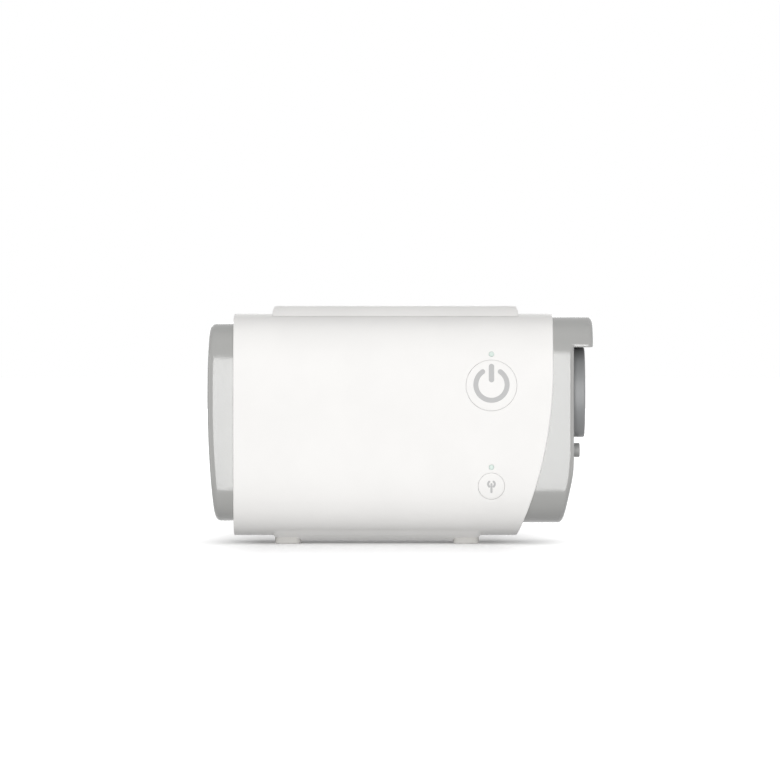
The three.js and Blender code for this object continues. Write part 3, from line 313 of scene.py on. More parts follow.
def mouldedFinish(name, look):
    # moulded plastic or rubber: slight clouding, fine spark texture and a little unevenness of gloss
    material = bpy.data.materials.new(name)
    material.use_nodes = True
    tree = material.node_tree
    shader = tree.nodes["Principled BSDF"]
    shader.inputs["Metallic"].default_value = look["metallic"]
    shader.inputs["IOR"].default_value = look["ior"]
    shader.inputs["Specular IOR Level"].default_value = look["gloss"]
    place = nodeAt(tree, "ShaderNodeTexCoord").outputs["Object"]
    cloud = nodeAt(tree, "ShaderNodeTexNoise", Scale=look["cloudScale"], Detail=look["cloudDetail"])
    grain = nodeAt(tree, "ShaderNodeTexNoise", Scale=look["grainScale"], Detail=look["grainDetail"])
    tone = nodeAt(tree, "ShaderNodeValToRGB")
    dark = [channel * (1 - look["clouding"]) for channel in look["colour"]]
    for element, position, shade in zip(tone.color_ramp.elements, look["cloudSpan"], (dark, look["colour"])):
        element.position = position
        element.color = (*shade, 1)
    roughSpan = (look["roughness"] - look["roughnessSpread"], look["roughness"] + look["roughnessSpread"])
    bump = nodeAt(tree, "ShaderNodeBump", Strength=look["grainStrength"], Distance=look["grainDepth"])
    for source, target in (
        (place, cloud.inputs["Vector"]),
        (place, grain.inputs["Vector"]),
        (cloud.outputs["Fac"], tone.inputs["Fac"]),
        (tone.outputs["Color"], shader.inputs["Base Color"]),
        (spanned(tree, grain.outputs["Fac"], look["grainSpan"], roughSpan), shader.inputs["Roughness"]),
        (grain.outputs["Fac"], bump.inputs["Height"]),
        (bump.outputs["Normal"], shader.inputs["Normal"]),
    ):
        tree.links.new(source, target)
    return material


finishBase = {
    "metallic": 0, "ior": 1.46, "gloss": 0.5, "roughnessSpread": 0.05,
    "clouding": 0.02, "cloudScale": 60, "cloudDetail": 2, "cloudSpan": (0.35, 0.65),
    "grainDepth": 0.05 * mm, "grainStrength": 0.25, "grainDetail": 3, "grainSpan": (0.3, 0.7),
}


def lookOf(colour, roughness, grainScale, **others):
    return finishBase | {"colour": colour, "roughness": roughness, "grainScale": grainScale} | others


finishLooks = {
    "white_shell": lookOf((0.86, 0.85, 0.835), 0.52, 2600),
    "grey_cover": lookOf((0.385, 0.385, 0.375), 0.15, 2200, ior=1.53),
    "dark_port": lookOf((0.27, 0.275, 0.28), 0.4, 2400),
    "inlet_grey": lookOf((0.36, 0.36, 0.355), 0.4, 2400),
    "ink": lookOf((0.48, 0.48, 0.48), 0.5, 3000),
    "rubber_foot": lookOf((0.52, 0.51, 0.49), 0.75, 3200, gloss=0.25),
    "inner_frame": lookOf((0.7, 0.7, 0.69), 0.55, 2000),
    "filter_media": lookOf((0.86, 0.86, 0.84), 0.9, 1600,
                           grainDepth=0.3 * mm, grainStrength=0.9, gloss=0.1, clouding=0.1),
    "foam": lookOf((0.045, 0.046, 0.05), 0.95, 1100,
                   grainDepth=0.5 * mm, grainStrength=1.0, gloss=0.1, clouding=0.35),
    "silicone": lookOf((0.5, 0.52, 0.54), 0.6, 1500, gloss=0.35),
    "circuit_board": lookOf((0.02, 0.12, 0.06), 0.35, 900, clouding=0.25),
    "chip": lookOf((0.012, 0.012, 0.014), 0.5, 3000),
    "socket": lookOf((0.8, 0.76, 0.64), 0.5, 2500),
    "light_lens": lookOf((0.66, 0.76, 0.71), 0.45, 900, grainStrength=0.02),
    "bright_metal": lookOf((0.6, 0.61, 0.63), 0.28, 4000, metallic=1, grainStrength=0.1),
    "copper_wire": lookOf((0.6, 0.26, 0.12), 0.3, 1500, metallic=1, grainStrength=0.6),
    "magnet": lookOf((0.12, 0.12, 0.13), 0.3, 3000, metallic=1),
    "blower_housing": lookOf((0.25, 0.27, 0.29), 0.5, 1800),
    "lead_sleeve": lookOf((0.015, 0.015, 0.017), 0.6, 2500),
}
finishes = {name: mouldedFinish(name, look) for name, look in finishLooks.items()}
print("finishes made:", len(finishes))

# The two halves of the case are modelled as flat patterns, then wrapped round the section
shell = {
    "wall": 3.4 * mm,
    "endRim": 1.8 * mm,
    "seamRim": 0.4 * mm,
    "seamReach": 0.05 * mm,    # edges this near the end of a pattern belong to its seam
    "holeRim": 0.12 * mm,
    "holeFlat": 0.4 * mm,      # round a hole the wall stands square to the front this far
    "holeFade": 2 * mm,        # and then turns back into the section
    "seamGap": 0.2 * mm,
    "columnStep": 4 * mm,
    "rowStep": 1.7 * mm,
    "flatStep": 3.5 * mm,
    "sweepRoom": 10.4 * mm,    # right of the controls, kept clear of the swept edge's stretch
    "sweepLead": 5 * mm,       # how much earlier the stretch starts low on the body
    "leadZ": 30 * mm,          # height where that lead begins to fade
    "leadFade": 15 * mm,
    "lipDepth": 2.5 * mm,
    "lipThickness": 1.2 * mm,
    "lipGap": 0.05 * mm,
    "lipLeft": 3 * mm,
    "lipRight": 12 * mm,
}

startLow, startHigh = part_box("start_button")
pairLow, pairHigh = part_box("pair_button")
startLightLow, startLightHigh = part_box("start_light")
pairLightLow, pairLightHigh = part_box("pair_light")
controls = {
    "x": (startLow.x + startHigh.x) / 2,
    "startZ": startLow.z + (startHigh.x - startLow.x) / 2,
    "pairZ": pairLow.z + (pairHigh.x - pairLow.x) / 2,
    "startLightZ": (startLightLow.z + startLightHigh.z) / 2,
    "pairLightZ": (pairLightLow.z + pairLightHigh.z) / 2,
    "startRadius": 8.95 * mm,
    "pairRadius": 4.65 * mm,
    "lightRadius": 0.92 * mm,
    "gap": 0.06 * mm,
    "lightGap": 0.03 * mm,
    "patchMargin": 1.1 * mm,
    "patchStep": 0.85 * mm,
    "buttonRim": 0.12 * mm,
    "buttonStep": 1 * mm,
    "buttonSteps": 128,
    "lightSteps": 32,
}


def frontY(z):
    return -sectionReach(z - body["middleZ"])


def stretchToJoint(bm):
    # the columns right of the controls spread out to the swept edge
    start = controls["x"] + shell["sweepRoom"]
    for vert in bm.verts:
        z = zOfArc(vert.co.y)
        faded = clamped((z - shell["leadZ"]) / shell["leadFade"])
        hold = start - shell["sweepLead"] * (1 - faded)
        if vert.co.x > hold:
            share = (vert.co.x - hold) / (body["right"] - hold)
            vert.co.x = hold + share * (jointAt(z) - hold)


def openHole(bm, x, z, radius, margin, lowZ, highZ, cuts=0):
    # a rectangular patch of the pattern gives way to a round hole, true in the front view
    lowV, highV = arcOfZ(lowZ), arcOfZ(highZ)

    def inPatch(co):
        return abs(co.x - x) < radius + margin + slack and lowV - slack < co.y < highV + slack

    gone = [one for one in bm.faces if inPatch(one.calc_center_median())]
    bmesh.ops.delete(bm, geom=gone, context="FACES")
    if cuts:
        bmesh.ops.subdivide_edges(bm, edges=rimEdges(bm, inPatch), cuts=cuts)
    grown = bmesh.ops.extrude_edge_only(bm, edges=rimEdges(bm, inPatch))
    for vert in vertsOf(grown):
        turn = math.atan2(zOfArc(vert.co.y) - z, vert.co.x - x)
        vert.co = (x + radius * math.cos(turn), arcOfZ(z + radius * math.sin(turn)), 0)


def wrapPattern(bm, side, holes=()):
    # flat x, arc length and depth under the skin become places on the body
    for vert in bm.verts:
        depth, height = walkAt(abs(vert.co.y))
        height = math.copysign(height, vert.co.y)
        normal = sectionNormal(depth, height)
        for x, z, radius in holes:
            away = math.hypot(vert.co.x - x, height + body["middleZ"] - z) - radius
            share = clamped(1 - (away - shell["holeFlat"]) / shell["holeFade"])
            normal = normal.lerp(Vector((0, 1, 0)), share)
        place = Vector((vert.co.x, depth, height)) - normal * vert.co.z
        vert.co = (place.x, side * place.y, body["middleZ"] + place.z)


def roundShellRims(bm, seamV):
    # each width is the most: a bevel stops short where the grid is tight, which leaves the ends 0.4 mm in
    # front and 1.1 mm behind, and the seam and the holes nearly sharp
    def outer(co):
        return abs(co.z) < slack

    def onSeam(edge):
        return all(abs(vert.co.y) > seamV - shell["seamReach"] for vert in edge.verts)

    def atEnd(edge):
        return all(min(vert.co.x - body["left"], body["right"] - vert.co.x) < slack
                   or abs(vert.co.x - jointAt(zOfArc(vert.co.y))) < slack for vert in edge.verts)

    ends = [edge for edge in sharpEdges(bm, outer) if atEnd(edge) and not onSeam(edge)]
    roundEdges(bm, ends, shell["endRim"], 6)
    roundEdges(bm, [edge for edge in sharpEdges(bm, outer) if onSeam(edge)], shell["seamRim"])
    roundEdges(bm, sharpEdges(bm, outer), shell["holeRim"])


def buildFrontShell():
    x, margin = controls["x"], controls["patchMargin"]
    fine, wide = controls["patchStep"], shell["columnStep"]
    light = controls["lightRadius"] + controls["lightGap"]
    holes, reaches, levels = [], [light + margin], []
    for which, step, cuts in (("pair", shell["flatStep"], 1), ("start", shell["rowStep"], 0)):
        z, lightZ = controls[f"{which}Z"], controls[f"{which}LightZ"]
        radius = controls[f"{which}Radius"] + controls["gap"]
        low, line, high = z - radius - margin, (z + radius + lightZ - light) / 2, lightZ + light + margin
        levels += [(low, fine), (line, fine), (high, step)]
        reaches.append(radius + margin)
        holes += [(z, radius, low, line, cuts), (lightZ, light, line, high, 1)]
    columns = stations(
        (body["left"], wide), *[(x - reach, fine) for reach in reversed(reaches)],
        *[(x + reach, fine) for reach in reaches[:-1]], (x + reaches[-1], 2 * fine), (body["right"], wide),
    )
    seamV = arcOfDepth(-body["seam"])
    ends = [(side * seamV, shell["rowStep"]) for side in (-1, 1)]
    bm = bmesh.new()
    gridOf(bm, columns, stations(ends[0], *[(arcOfZ(z), step) for z, step in levels], ends[1]))
    for z, radius, low, high, cuts in holes:
        openHole(bm, x, z, radius, margin, low, high, cuts)
    stretchToJoint(bm)
    thicken(bm, shell["wall"])
    roundShellRims(bm, seamV)
    wrapPattern(bm, -1, [(x, z, radius) for z, radius, *_ in holes])
    newPiece("front_shell_skin", bm, "root", "white_shell", "front_shell")


buildFrontShell()
print("front shell done")

screws = {
    "names": [f"case_screw_{i}" for i in range(1, 5)],
    "patchMargin": 1.2 * mm,
    "patchStep": 0.9 * mm,
    "wellRadius": 2.4 * mm,
    "wellWall": 0.8 * mm,
    "wellDepth": 1.6 * mm,     # from the rear of the head to the floor of its well
    "wellFloor": 2 * mm,
    "wellSteps": 48,
    "shankHole": 1.4 * mm,
    "shank": 1.1 * mm,
    "tip": 0.7 * mm,
    "tipLength": 0.8 * mm,
    "headHeight": 1.3 * mm,
    "headEdge": 0.1 * mm,
    "dome": [(0, 0.6 * mm), (0.15 * mm, 0.35 * mm), (0.5 * mm, 0.12 * mm)],   # in and down from its edge
    "crown": 1.4 * mm,
    "crownInset": 0.25 * mm,
    "slotWaist": 0.38 * mm,    # reach of the cross slot between its arms
    "slotArm": 0.85 * mm,      # what an arm adds to that
    "slotDepth": 0.8 * mm,
    "steps": 24,
}


def screwPlaces():
    places = []
    for name in screws["names"]:
        low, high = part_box(name)
        places.append(Vector(((low.x + high.x) / 2, high.y, (low.z + high.z) / 2)))
    return places


def addLip(bm, seamV):
    # strips under the wall of the rear cover reach over the seam into the front shell
    strip = bmesh.new()
    left, right = body["left"] + shell["lipLeft"], body["right"] - shell["lipRight"]
    columns = stations((left, shell["columnStep"]), (right, 1))
    lengths = seamV - shell["lipDepth"], arcOfDepth(body["seam"] - shell["lipDepth"])
    for side in (-1, 1):
        low, high = sorted(side * length for length in lengths)
        gridOf(strip, columns, stations((low, shell["rowStep"]), (high, 1)))
    thicken(strip, shell["lipThickness"])
    bmesh.ops.translate(strip, verts=strip.verts[:], vec=(0, 0, shell["wall"] + shell["lipGap"]))
    wrapPattern(strip, 1)
    stripMesh = meshOf("lip", strip)
    bm.from_mesh(stripMesh)
    bpy.data.meshes.remove(stripMesh)


def addWell(bm, place):
    inner, outer = screws["wellRadius"], screws["wellRadius"] + screws["wellWall"]
    rear = sectionReach(place.z - body["middleZ"]) - shell["wall"]
    floor = place.y - screws["wellDepth"]
    front = floor - screws["wellFloor"]
    profile = [(screws["shankHole"], front), (outer, front), (outer, rear), (inner, rear), (inner, floor),
               (screws["shankHole"], floor)]
    turned(profile, "Y", (place.x, 0, place.z), screws["wellSteps"], bm)


def buildRearCover():
    radius, margin = screws["wellRadius"], screws["patchMargin"]
    reach = radius + margin
    fine, wide = screws["patchStep"], shell["columnStep"]
    places = screwPlaces()
    zs = sorted({round(place.z, 5) for place in places})
    columns = [(body["left"], wide)]
    for x in sorted(place.x for place in places):
        columns += [(x - reach, fine), (x + reach, wide)]
    # two screws share an x: their patch begins once, and its end, given twice, is welded with the wells
    columns = [mark for i, mark in enumerate(columns) if i == 0 or mark[0] > columns[i - 1][0]]
    seamV = arcOfDepth(body["seam"] + shell["seamGap"])
    rows = [(-seamV, shell["rowStep"])]
    for z, step in zip(zs, (shell["flatStep"], shell["rowStep"])):
        rows += [(arcOfZ(z - reach), fine), (arcOfZ(z + reach), step)]
    bm = bmesh.new()
    gridOf(bm, stations(*columns, (body["right"], wide)), stations(*rows, (seamV, fine)))
    for place in places:
        openHole(bm, place.x, place.z, radius, margin, place.z - reach, place.z + reach, 1)
    stretchToJoint(bm)
    thicken(bm, shell["wall"])
    roundShellRims(bm, seamV)
    wrapPattern(bm, 1, [(place.x, place.z, radius) for place in places])
    addLip(bm, seamV)
    for place in places:
        addWell(bm, place)
    newPiece("rear_cover_skin", bm, "root", "white_shell", "rear_cover")


buildRearCover()
print("rear cover done")


def crownOf(bm):
    return max(bm.faces, key=lambda face: len(face.verts))


def buildCaseScrew(name, place):
    low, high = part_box(name)
    radius = (high.x - low.x) / 2
    shank, edge = screws["shank"], screws["headEdge"]
    headFront = high.y - screws["headHeight"]
    profile = [
        (0, low.y), (screws["tip"], low.y), (shank, low.y + screws["tipLength"]), (shank, headFront),
        (radius - edge, headFront), (radius, headFront + edge),
        *[(radius - inwards, high.y - below) for inwards, below in screws["dome"]],
        (screws["crown"], high.y), (0, high.y),
    ]
    bm = turned(profile, "Y", (place.x, 0, place.z), screws["steps"])
    top = [face for face in bm.faces if face.calc_center_median().y > high.y - slack]
    bmesh.ops.dissolve_faces(bm, faces=top)
    bmesh.ops.inset_region(bm, faces=[crownOf(bm)], thickness=screws["crownInset"], use_even_offset=True)
    crown = crownOf(bm)
    for vert in crown.verts:       # the inner ring takes the outline of a cross
        away = Vector((vert.co.x - place.x, 0, vert.co.z - place.z))
        share = (1 + math.cos(4 * math.atan2(away.z, away.x))) / 2
        reach = screws["slotWaist"] + share ** 3 * screws["slotArm"]
        vert.co = Vector((place.x, vert.co.y, place.z)) + away.normalized() * reach
    verts = vertsOf(bmesh.ops.extrude_face_region(bm, geom=[crown]))
    bmesh.ops.delete(bm, geom=[crown], context="FACES_ONLY")
    bmesh.ops.translate(bm, verts=verts, vec=(0, -screws["slotDepth"], 0))
    newPiece(f"{name}_head", bm, "root", "bright_metal", name)


for screwName, screwPlace in zip(screws["names"], screwPlaces()):
    buildCaseScrew(screwName, screwPlace)
print("case screws done")

# Rail and plinth follow the body between them
slab = {
    "bodyGap": 0.08 * mm,
    "least": 0.03 * mm,        # thickness where the slab runs out
    "rollPower": 1.6,
    "columnSteps": (8, 12),    # in each rolled end, and between them
    "rowSteps": (12, 10),
}
rail = {"sideRoll": 7 * mm, "sideFall": 3.6 * mm, "endRoll": 0.9 * mm, "endFall": 1.6 * mm}
plinth = {"sideRoll": 9 * mm, "sideFall": 4.4 * mm, "endRoll": 3 * mm, "endFall": 2.2 * mm}
foot = {"deep": 1.6 * mm, "corner": 2 * mm, "edge": 0.35 * mm}


def rollOff(place, low, high, reach, fall):
    # drop of a sloping edge, by the distance to the nearer end of its span
    away = min(place - low, high - place)
    return fall * clamped(1 - away / reach) ** slab["rollPower"]


def edgeStations(low, high, reach, steps, middleSteps):
    # places close together near both ends
    near = [reach * (1 - math.cos(turn)) for turn in quarterTurns(steps)]
    middle = [low + reach + (high - low - 2 * reach) * i / middleSteps for i in range(1, middleSteps)]
    return [low + place for place in near] + middle + [high - place for place in reversed(near)]


def buildSlab(node, look, side):
    # a slab on the body, side 1 on top and -1 below, whose free face rolls off to its sides and ends
    low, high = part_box(node)
    bm = bmesh.new()
    gridOf(bm, edgeStations(low.x, high.x, look["endRoll"], *slab["columnSteps"]),
           edgeStations(low.y, high.y, look["sideRoll"], *slab["rowSteps"]))
    free = set(vertsOf(bmesh.ops.extrude_face_region(bm, geom=bm.faces[:])))
    face = high.z if side > 0 else low.z
    for vert in bm.verts:
        ground = body["middleZ"] + side * (sectionRise(vert.co.y) + slab["bodyGap"])
        thickness = 0
        if vert in free:
            drop = math.hypot(rollOff(vert.co.y, low.y, high.y, look["sideRoll"], look["sideFall"]),
                              rollOff(vert.co.x, low.x, high.x, look["endRoll"], look["endFall"]))
            thickness = max(side * (face - ground) - drop, slab["least"])
        vert.co.z = ground + side * thickness
    newPiece(f"{node}_skin", bm, "root", "white_shell", node)


def buildFoot(node):
    # a pad with round corners in plan and a softened underside
    low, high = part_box(node)
    high.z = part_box("base_plinth")[0].z + foot["deep"]
    bm = bmesh.new()
    matrix = Matrix.Translation((low + high) / 2) @ Matrix.Diagonal((*(high - low), 1))
    bmesh.ops.create_cube(bm, size=1, matrix=matrix)
    upright = [edge for edge in bm.edges if abs(edge.verts[0].co.z - edge.verts[1].co.z) > slack]
    roundEdges(bm, upright, foot["corner"], 6)
    roundEdges(bm, sharpEdges(bm, lambda co: co.z < low.z + slack), foot["edge"], 4)
    newPiece(f"{node}_pad", bm, "root", "rubber_foot", node)


buildSlab("top_rail", rail, 1)
buildSlab("base_plinth", plinth, -1)
buildFoot("foot_left")
buildFoot("foot_right")
print("rail, plinth and feet done")

# End covers are skinned from rings of the inset section
covers = {"ringCount": 192, "rimSteps": 8, "flangeDepth": 0.6 * mm}


def insetRing(bm, insets, xAt):
    side, top, low = insets
    deep = body["halfDepth"] - side
    high = body["halfHeight"] - (low + top) / 2
    middle = body["middleZ"] + (low - top) / 2
    ring = bmesh.ops.create_circle(bm, cap_ends=False, radius=1, segments=covers["ringCount"])
    for vert in ring["verts"]:
        z = middle + high * drawnOut(vert.co.y)
        vert.co = (xAt(z), deep * drawnOut(vert.co.x), z)
    return circleEdges(ring)


def skinnedEnd(bm, insets, jointEdge, endEdge, rim, side, flange=()):
    # rings from the joint to the rounded rim of the end, after a flange in the case if there is one
    loops = [insetRing(bm, flangeInsets, lambda z: jointEdge(z) - side * covers["flangeDepth"])
             for flangeInsets in ([flange, insets] if flange else [])]
    loops.append(insetRing(bm, insets, jointEdge))
    for turn in quarterTurns(covers["rimSteps"]):
        drawn = rim * (1 - math.cos(turn))
        loops.append(insetRing(
            bm, [inset + drawn for inset in insets],
            lambda z, turn=turn: endEdge(z) - side * rim * (1 - math.sin(turn)),
        ))
    for near, far in zip(loops, loops[1:]):
        bmesh.ops.bridge_loops(bm, edges=near + far)
    return loops[-1]


def hollowOut(bm, wall):
    # an open skin gets its wall inwards, along its own normals
    bmesh.ops.recalc_face_normals(bm, faces=bm.faces[:])
    bm.normal_update()
    grown = bmesh.ops.extrude_face_region(bm, geom=bm.faces[:])
    for vert, normal in [(vert, vert.normal.copy()) for vert in vertsOf(grown)]:
        vert.co -= normal * wall


intake = {
    "insets": [2.4 * mm, 2.9 * mm, 4.9 * mm],
    "rim": 2 * mm,
    "wall": 1.6 * mm,
    "bulgeRadius": 400 * mm,
    "bulgeLift": 11 * mm,
    "gap": 0.05 * mm,
    "slotCount": 9,
    "slotWidth": 26 * mm,
    "slotHeight": 2 * mm,
    "slotPitch": 4.5 * mm,
    "slotEnd": 0.9 * mm,
    "slotEdge": 0.3 * mm,
    "cornerSteps": 5,
    "edgeSteps": 4,
    "sliceReach": 0.86,        # share of the half height that is cut into level strips
    "sliceStep": 2.6 * mm,
    "innerDepth": 1 * mm,      # what lies deeper under the outer face belongs to the inner one
}


def coverAt(z):
    lift = z - body["middleZ"] - intake["bulgeLift"]
    return cadLow.x + lift ** 2 / (2 * intake["bulgeRadius"])


def slotPlaces(z, inset):
    # outline of a slot with round corners, drawn in from its outer edge
    corner = intake["slotEnd"]
    reach = corner + intake["slotEdge"] - inset
    places = []
    for i in range(4):
        across = (intake["slotWidth"] / 2 - corner) * (1 if i in (0, 3) else -1)
        up = (intake["slotHeight"] / 2 - corner) * (1 if i < 2 else -1)
        for j in range(intake["cornerSteps"] + 1):
            turn = math.pi / 2 * (i + j / intake["cornerSteps"])
            places.append((across + reach * math.cos(turn), z + up + reach * math.sin(turn)))
    return places


def slotRing(bm, z, inset, depth):
    verts = [bm.verts.new((coverAt(up) + depth, across, up)) for across, up in slotPlaces(z, inset)]
    return [bm.edges.new((verts[i - 1], verts[i])) for i in range(len(verts))]


def lineSlot(bm, z, outer, inner):
    # the wall of a slot, rounded into the outer face
    loop = outer
    edge = intake["slotEdge"]
    for turn in quarterTurns(intake["edgeSteps"])[1:]:
        ring = slotRing(bm, z, edge * math.sin(turn), edge * (1 - math.cos(turn)))
        bmesh.ops.bridge_loops(bm, edges=loop + ring)
        loop = ring
    bmesh.ops.bridge_loops(bm, edges=loop + inner)


def sliceEnd(bm, filled, slotZs):
    # the end face is cut into level strips, so that it can take its bulge
    for item in filled["geom"]:
        if isinstance(item, bmesh.types.BMFace):
            item.material_index = 1                 # marks the end face while it is sliced
    reach, step, pitch = body["halfHeight"] * intake["sliceReach"], intake["sliceStep"], intake["slotPitch"]
    levels = stations((body["middleZ"] - reach, step), (slotZs[0] - pitch / 2, pitch),
                      (slotZs[-1] + pitch / 2, step), (body["middleZ"] + reach, step))
    for z in levels:
        ends = [face for face in bm.faces if face.material_index == 1]
        parts = {item for face in ends for item in (face, *face.edges, *face.verts)}
        bmesh.ops.bisect_plane(bm, geom=list(parts), plane_co=(0, 0, z), plane_no=(0, 0, 1))
    for face in bm.faces:
        face.material_index = 0


def buildFilterCover():
    bm = bmesh.new()
    mouth = body["left"] - intake["gap"]
    last = skinnedEnd(bm, intake["insets"], lambda z: mouth, coverAt, intake["rim"], -1)
    skinned = set(bm.verts)
    slotZs = [body["middleZ"] + (i - (intake["slotCount"] - 1) / 2) * intake["slotPitch"]
              for i in range(intake["slotCount"])]
    outers = [slotRing(bm, z, 0, 0) for z in slotZs]
    filled = bmesh.ops.triangle_fill(bm, use_beauty=True, edges=last + sum(outers, []), normal=(-1, 0, 0))
    sliceEnd(bm, filled, slotZs)
    for vert in bm.verts:
        if vert not in skinned:
            vert.co.x = coverAt(vert.co.z)
    hollowOut(bm, intake["wall"])
    rings = {vert for edge in sum(outers, []) for vert in edge.verts}
    between = [face for face in bm.faces if 0 < sum(vert in rings for vert in face.verts) < len(face.verts)
               and any(vert not in rings and vert.co.x > coverAt(vert.co.z) + intake["innerDepth"]
                       for vert in face.verts)]
    bmesh.ops.delete(bm, geom=between, context="FACES")
    for z, outer in zip(slotZs, outers):
        inner = slotRing(bm, z, intake["slotEdge"], intake["wall"])
        lineSlot(bm, z, outer, inner)
        around = rimEdges(bm, lambda co: abs(co.z - z) < intake["slotPitch"] / 2
                          and abs(co.y) < intake["slotWidth"])
        bmesh.ops.bridge_loops(bm, edges=inner + [edge for edge in around if edge not in set(inner)])
    newPiece("filter_cover_skin", bm, "filter_door", "grey_cover", "filter_cover")


buildFilterCover()
print("filter cover done")

# Outlet cap with its hood over the port
outlet = {
    "insets": [1.4 * mm, 0.5 * mm, 4.3 * mm],
    "flange": [1.35 * mm, 0.45 * mm, 2 * mm],
    "rim": 1.7 * mm,
    "wall": 1.4 * mm,
    "radius": 197 * mm,
    "bendDrop": 6.2 * mm,
    "leanMargin": 0.7 * mm,    # under the power inlet, where the end starts to lean in
    "leanSoft": 8 * mm,
    "lean": 0.205,
    "leanBlend": 6 * mm,
    "gap": 0.08 * mm,
    "setback": 6.8 * mm,
    "wallRoll": 1.4 * mm,      # where the front turns into the wall that holds the port
    "hoodRoll": 0.4 * mm,      # round the underside of the hood
    "rollChange": 3.5 * mm,
    "rollSteps": 7,
    "weld": 0.02 * mm,
    "jointRoom": 5 * mm,       # edges nearer the joint than this belong to its own opening
    "hoodGap": 0.33 * mm,      # from the collar to the underside of the hood
    "portHole": 13.7 * mm,
    "powerHole": 2.65 * mm,
}
portLow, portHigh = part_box("outlet_port")
inletLow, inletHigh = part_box("power_inlet")
portZ = (portLow.z + portHigh.z) / 2
powerZ = (inletLow.z + inletHigh.z) / 2
portPlane = cadHigh.x - outlet["setback"]
hoodUnder = portHigh.z + outlet["hoodGap"]


def hoodAt(z):
    # the sweep of the hood, and below the port an end that leans in from the plane of the port
    drop = powerZ - outlet["powerHole"] - outlet["leanMargin"] - z
    if drop > 0:
        soft = min(drop, outlet["leanSoft"])
        return portPlane - outlet["lean"] * (soft ** 2 / (2 * outlet["leanSoft"]) + drop - soft)
    share = min(-drop / outlet["leanBlend"], 1)
    sweep = sweptEdge(z, cadHigh.x, bodyTop - outlet["bendDrop"], outlet["radius"])
    return portPlane + (sweep - portPlane) * share ** 2 * (3 - 2 * share)


def roomShare(z):
    # how much of the roll is left where the rounded end of the cap already turns into the room
    beyond = hoodAt(z) - portPlane
    if beyond <= 0:
        return 0
    rise = max(1 - beyond / outlet["rim"], 0)
    drawn = outlet["rim"] * (1 - math.sqrt(1 - rise ** 2))
    return max(1 - drawn / outlet["wallRoll"], 0)


def rollInto(bm):
    # the skin rolls inwards where it meets the room round the port
    bmesh.ops.recalc_face_normals(bm, faces=bm.faces[:])
    bm.normal_update()
    moves = []
    for vert in bm.verts:
        x, y, z = vert.co
        beside, above = portPlane - x, z - hoodUnder
        out = clamped(-beside / outlet["rollChange"])
        roll = outlet["wallRoll"] + (outlet["hoodRoll"] - outlet["wallRoll"]) * out
        share = clamped(1 - math.hypot(max(beside, 0), max(above, 0)) / roll)
        drop = roll * (1 - math.sqrt(1 - share ** 2))
        if above < -slack:
            outwards = sectionNormal(y, z - body["middleZ"])
            drop *= roomShare(z)
        elif beside < -slack:
            outwards = Vector((vert.normal.x, vert.normal.y, 0)).normalized()
        else:
            outwards = Vector((0, math.copysign(1, y), 0))
        moves.append((vert, outwards * drop))
    for vert, move in moves:
        vert.co -= move
    bmesh.ops.remove_doubles(bm, verts=bm.verts[:], dist=outlet["weld"])


def cutRoom(bm):
    # the room round the port is cut out of the closed end, after cuts that give its roll some steps
    for turn in quarterTurns(outlet["rollSteps"]):
        away = outlet["wallRoll"] * (1 - math.cos(turn))
        for place, normal in (((0, 0, hoodUnder + away), (0, 0, 1)), ((portPlane - away, 0, 0), (1, 0, 0))):
            parts = bm.verts[:] + bm.edges[:] + bm.faces[:]
            bmesh.ops.bisect_plane(bm, geom=parts, plane_co=place, plane_no=normal)
    room = [face for face in bm.faces
            if face.calc_center_median().x > portPlane and face.calc_center_median().z < hoodUnder]
    bmesh.ops.delete(bm, geom=room, context="FACES")


def wallRoom(bm):
    # the wall behind the port, with its two holes, and the underside of the hood
    inRoom = rimEdges(bm, lambda co: co.x > portPlane - slack and co.z < hoodUnder + slack)
    corner = [v for v in {v for e in inRoom for v in e.verts}
              if abs(v.co.x - portPlane) < slack and abs(v.co.z - hoodUnder) < slack]
    fold = bm.edges.new(corner)
    upright = [e for e in inRoom if all(abs(v.co.x - portPlane) < slack for v in e.verts)]
    ceiling = [e for e in inRoom if e not in upright]
    holes = []
    for z, radius, count in ((portZ, outlet["portHole"], 96), (powerZ, outlet["powerHole"], 48)):
        turn = Matrix.Translation((portPlane, 0, z)) @ Matrix.Rotation(math.pi / 2, 4, "Y")
        ring = bmesh.ops.create_circle(bm, cap_ends=False, radius=radius, segments=count, matrix=turn)
        holes += circleEdges(ring)
    bmesh.ops.triangle_fill(bm, use_beauty=True, edges=upright + [fold] + holes, normal=(1, 0, 0))
    bmesh.ops.triangle_fill(bm, use_beauty=True, edges=ceiling + [fold], normal=(0, 0, -1))


def buildOutletCap():
    bm = bmesh.new()
    last = skinnedEnd(bm, outlet["insets"], lambda z: jointAt(z) + outlet["gap"], hoodAt, outlet["rim"], 1,
                      outlet["flange"])
    halves = [edge for side in (-1, 1) for edge in last if all(side * v.co.y > slack for v in edge.verts)]
    bmesh.ops.bridge_loops(bm, edges=halves)
    ends = rimEdges(bm, lambda co: co.x > jointAt(co.z) + outlet["jointRoom"])
    bmesh.ops.holes_fill(bm, edges=ends, sides=4)
    cutRoom(bm)
    rollInto(bm)
    wallRoom(bm)
    hollowOut(bm, outlet["wall"])
    newPiece("outlet_cap_skin", bm, "root", "grey_cover", "outlet_cap")


buildOutletCap()
print("outlet cap done")

port = {
    "tube": 13.5 * mm,
    "bore": 12 * mm,
    "collarGap": 0.15 * mm,
    "groove": 2.4 * mm,
    "grooveWidth": 1 * mm,
    "steps": 128,
}


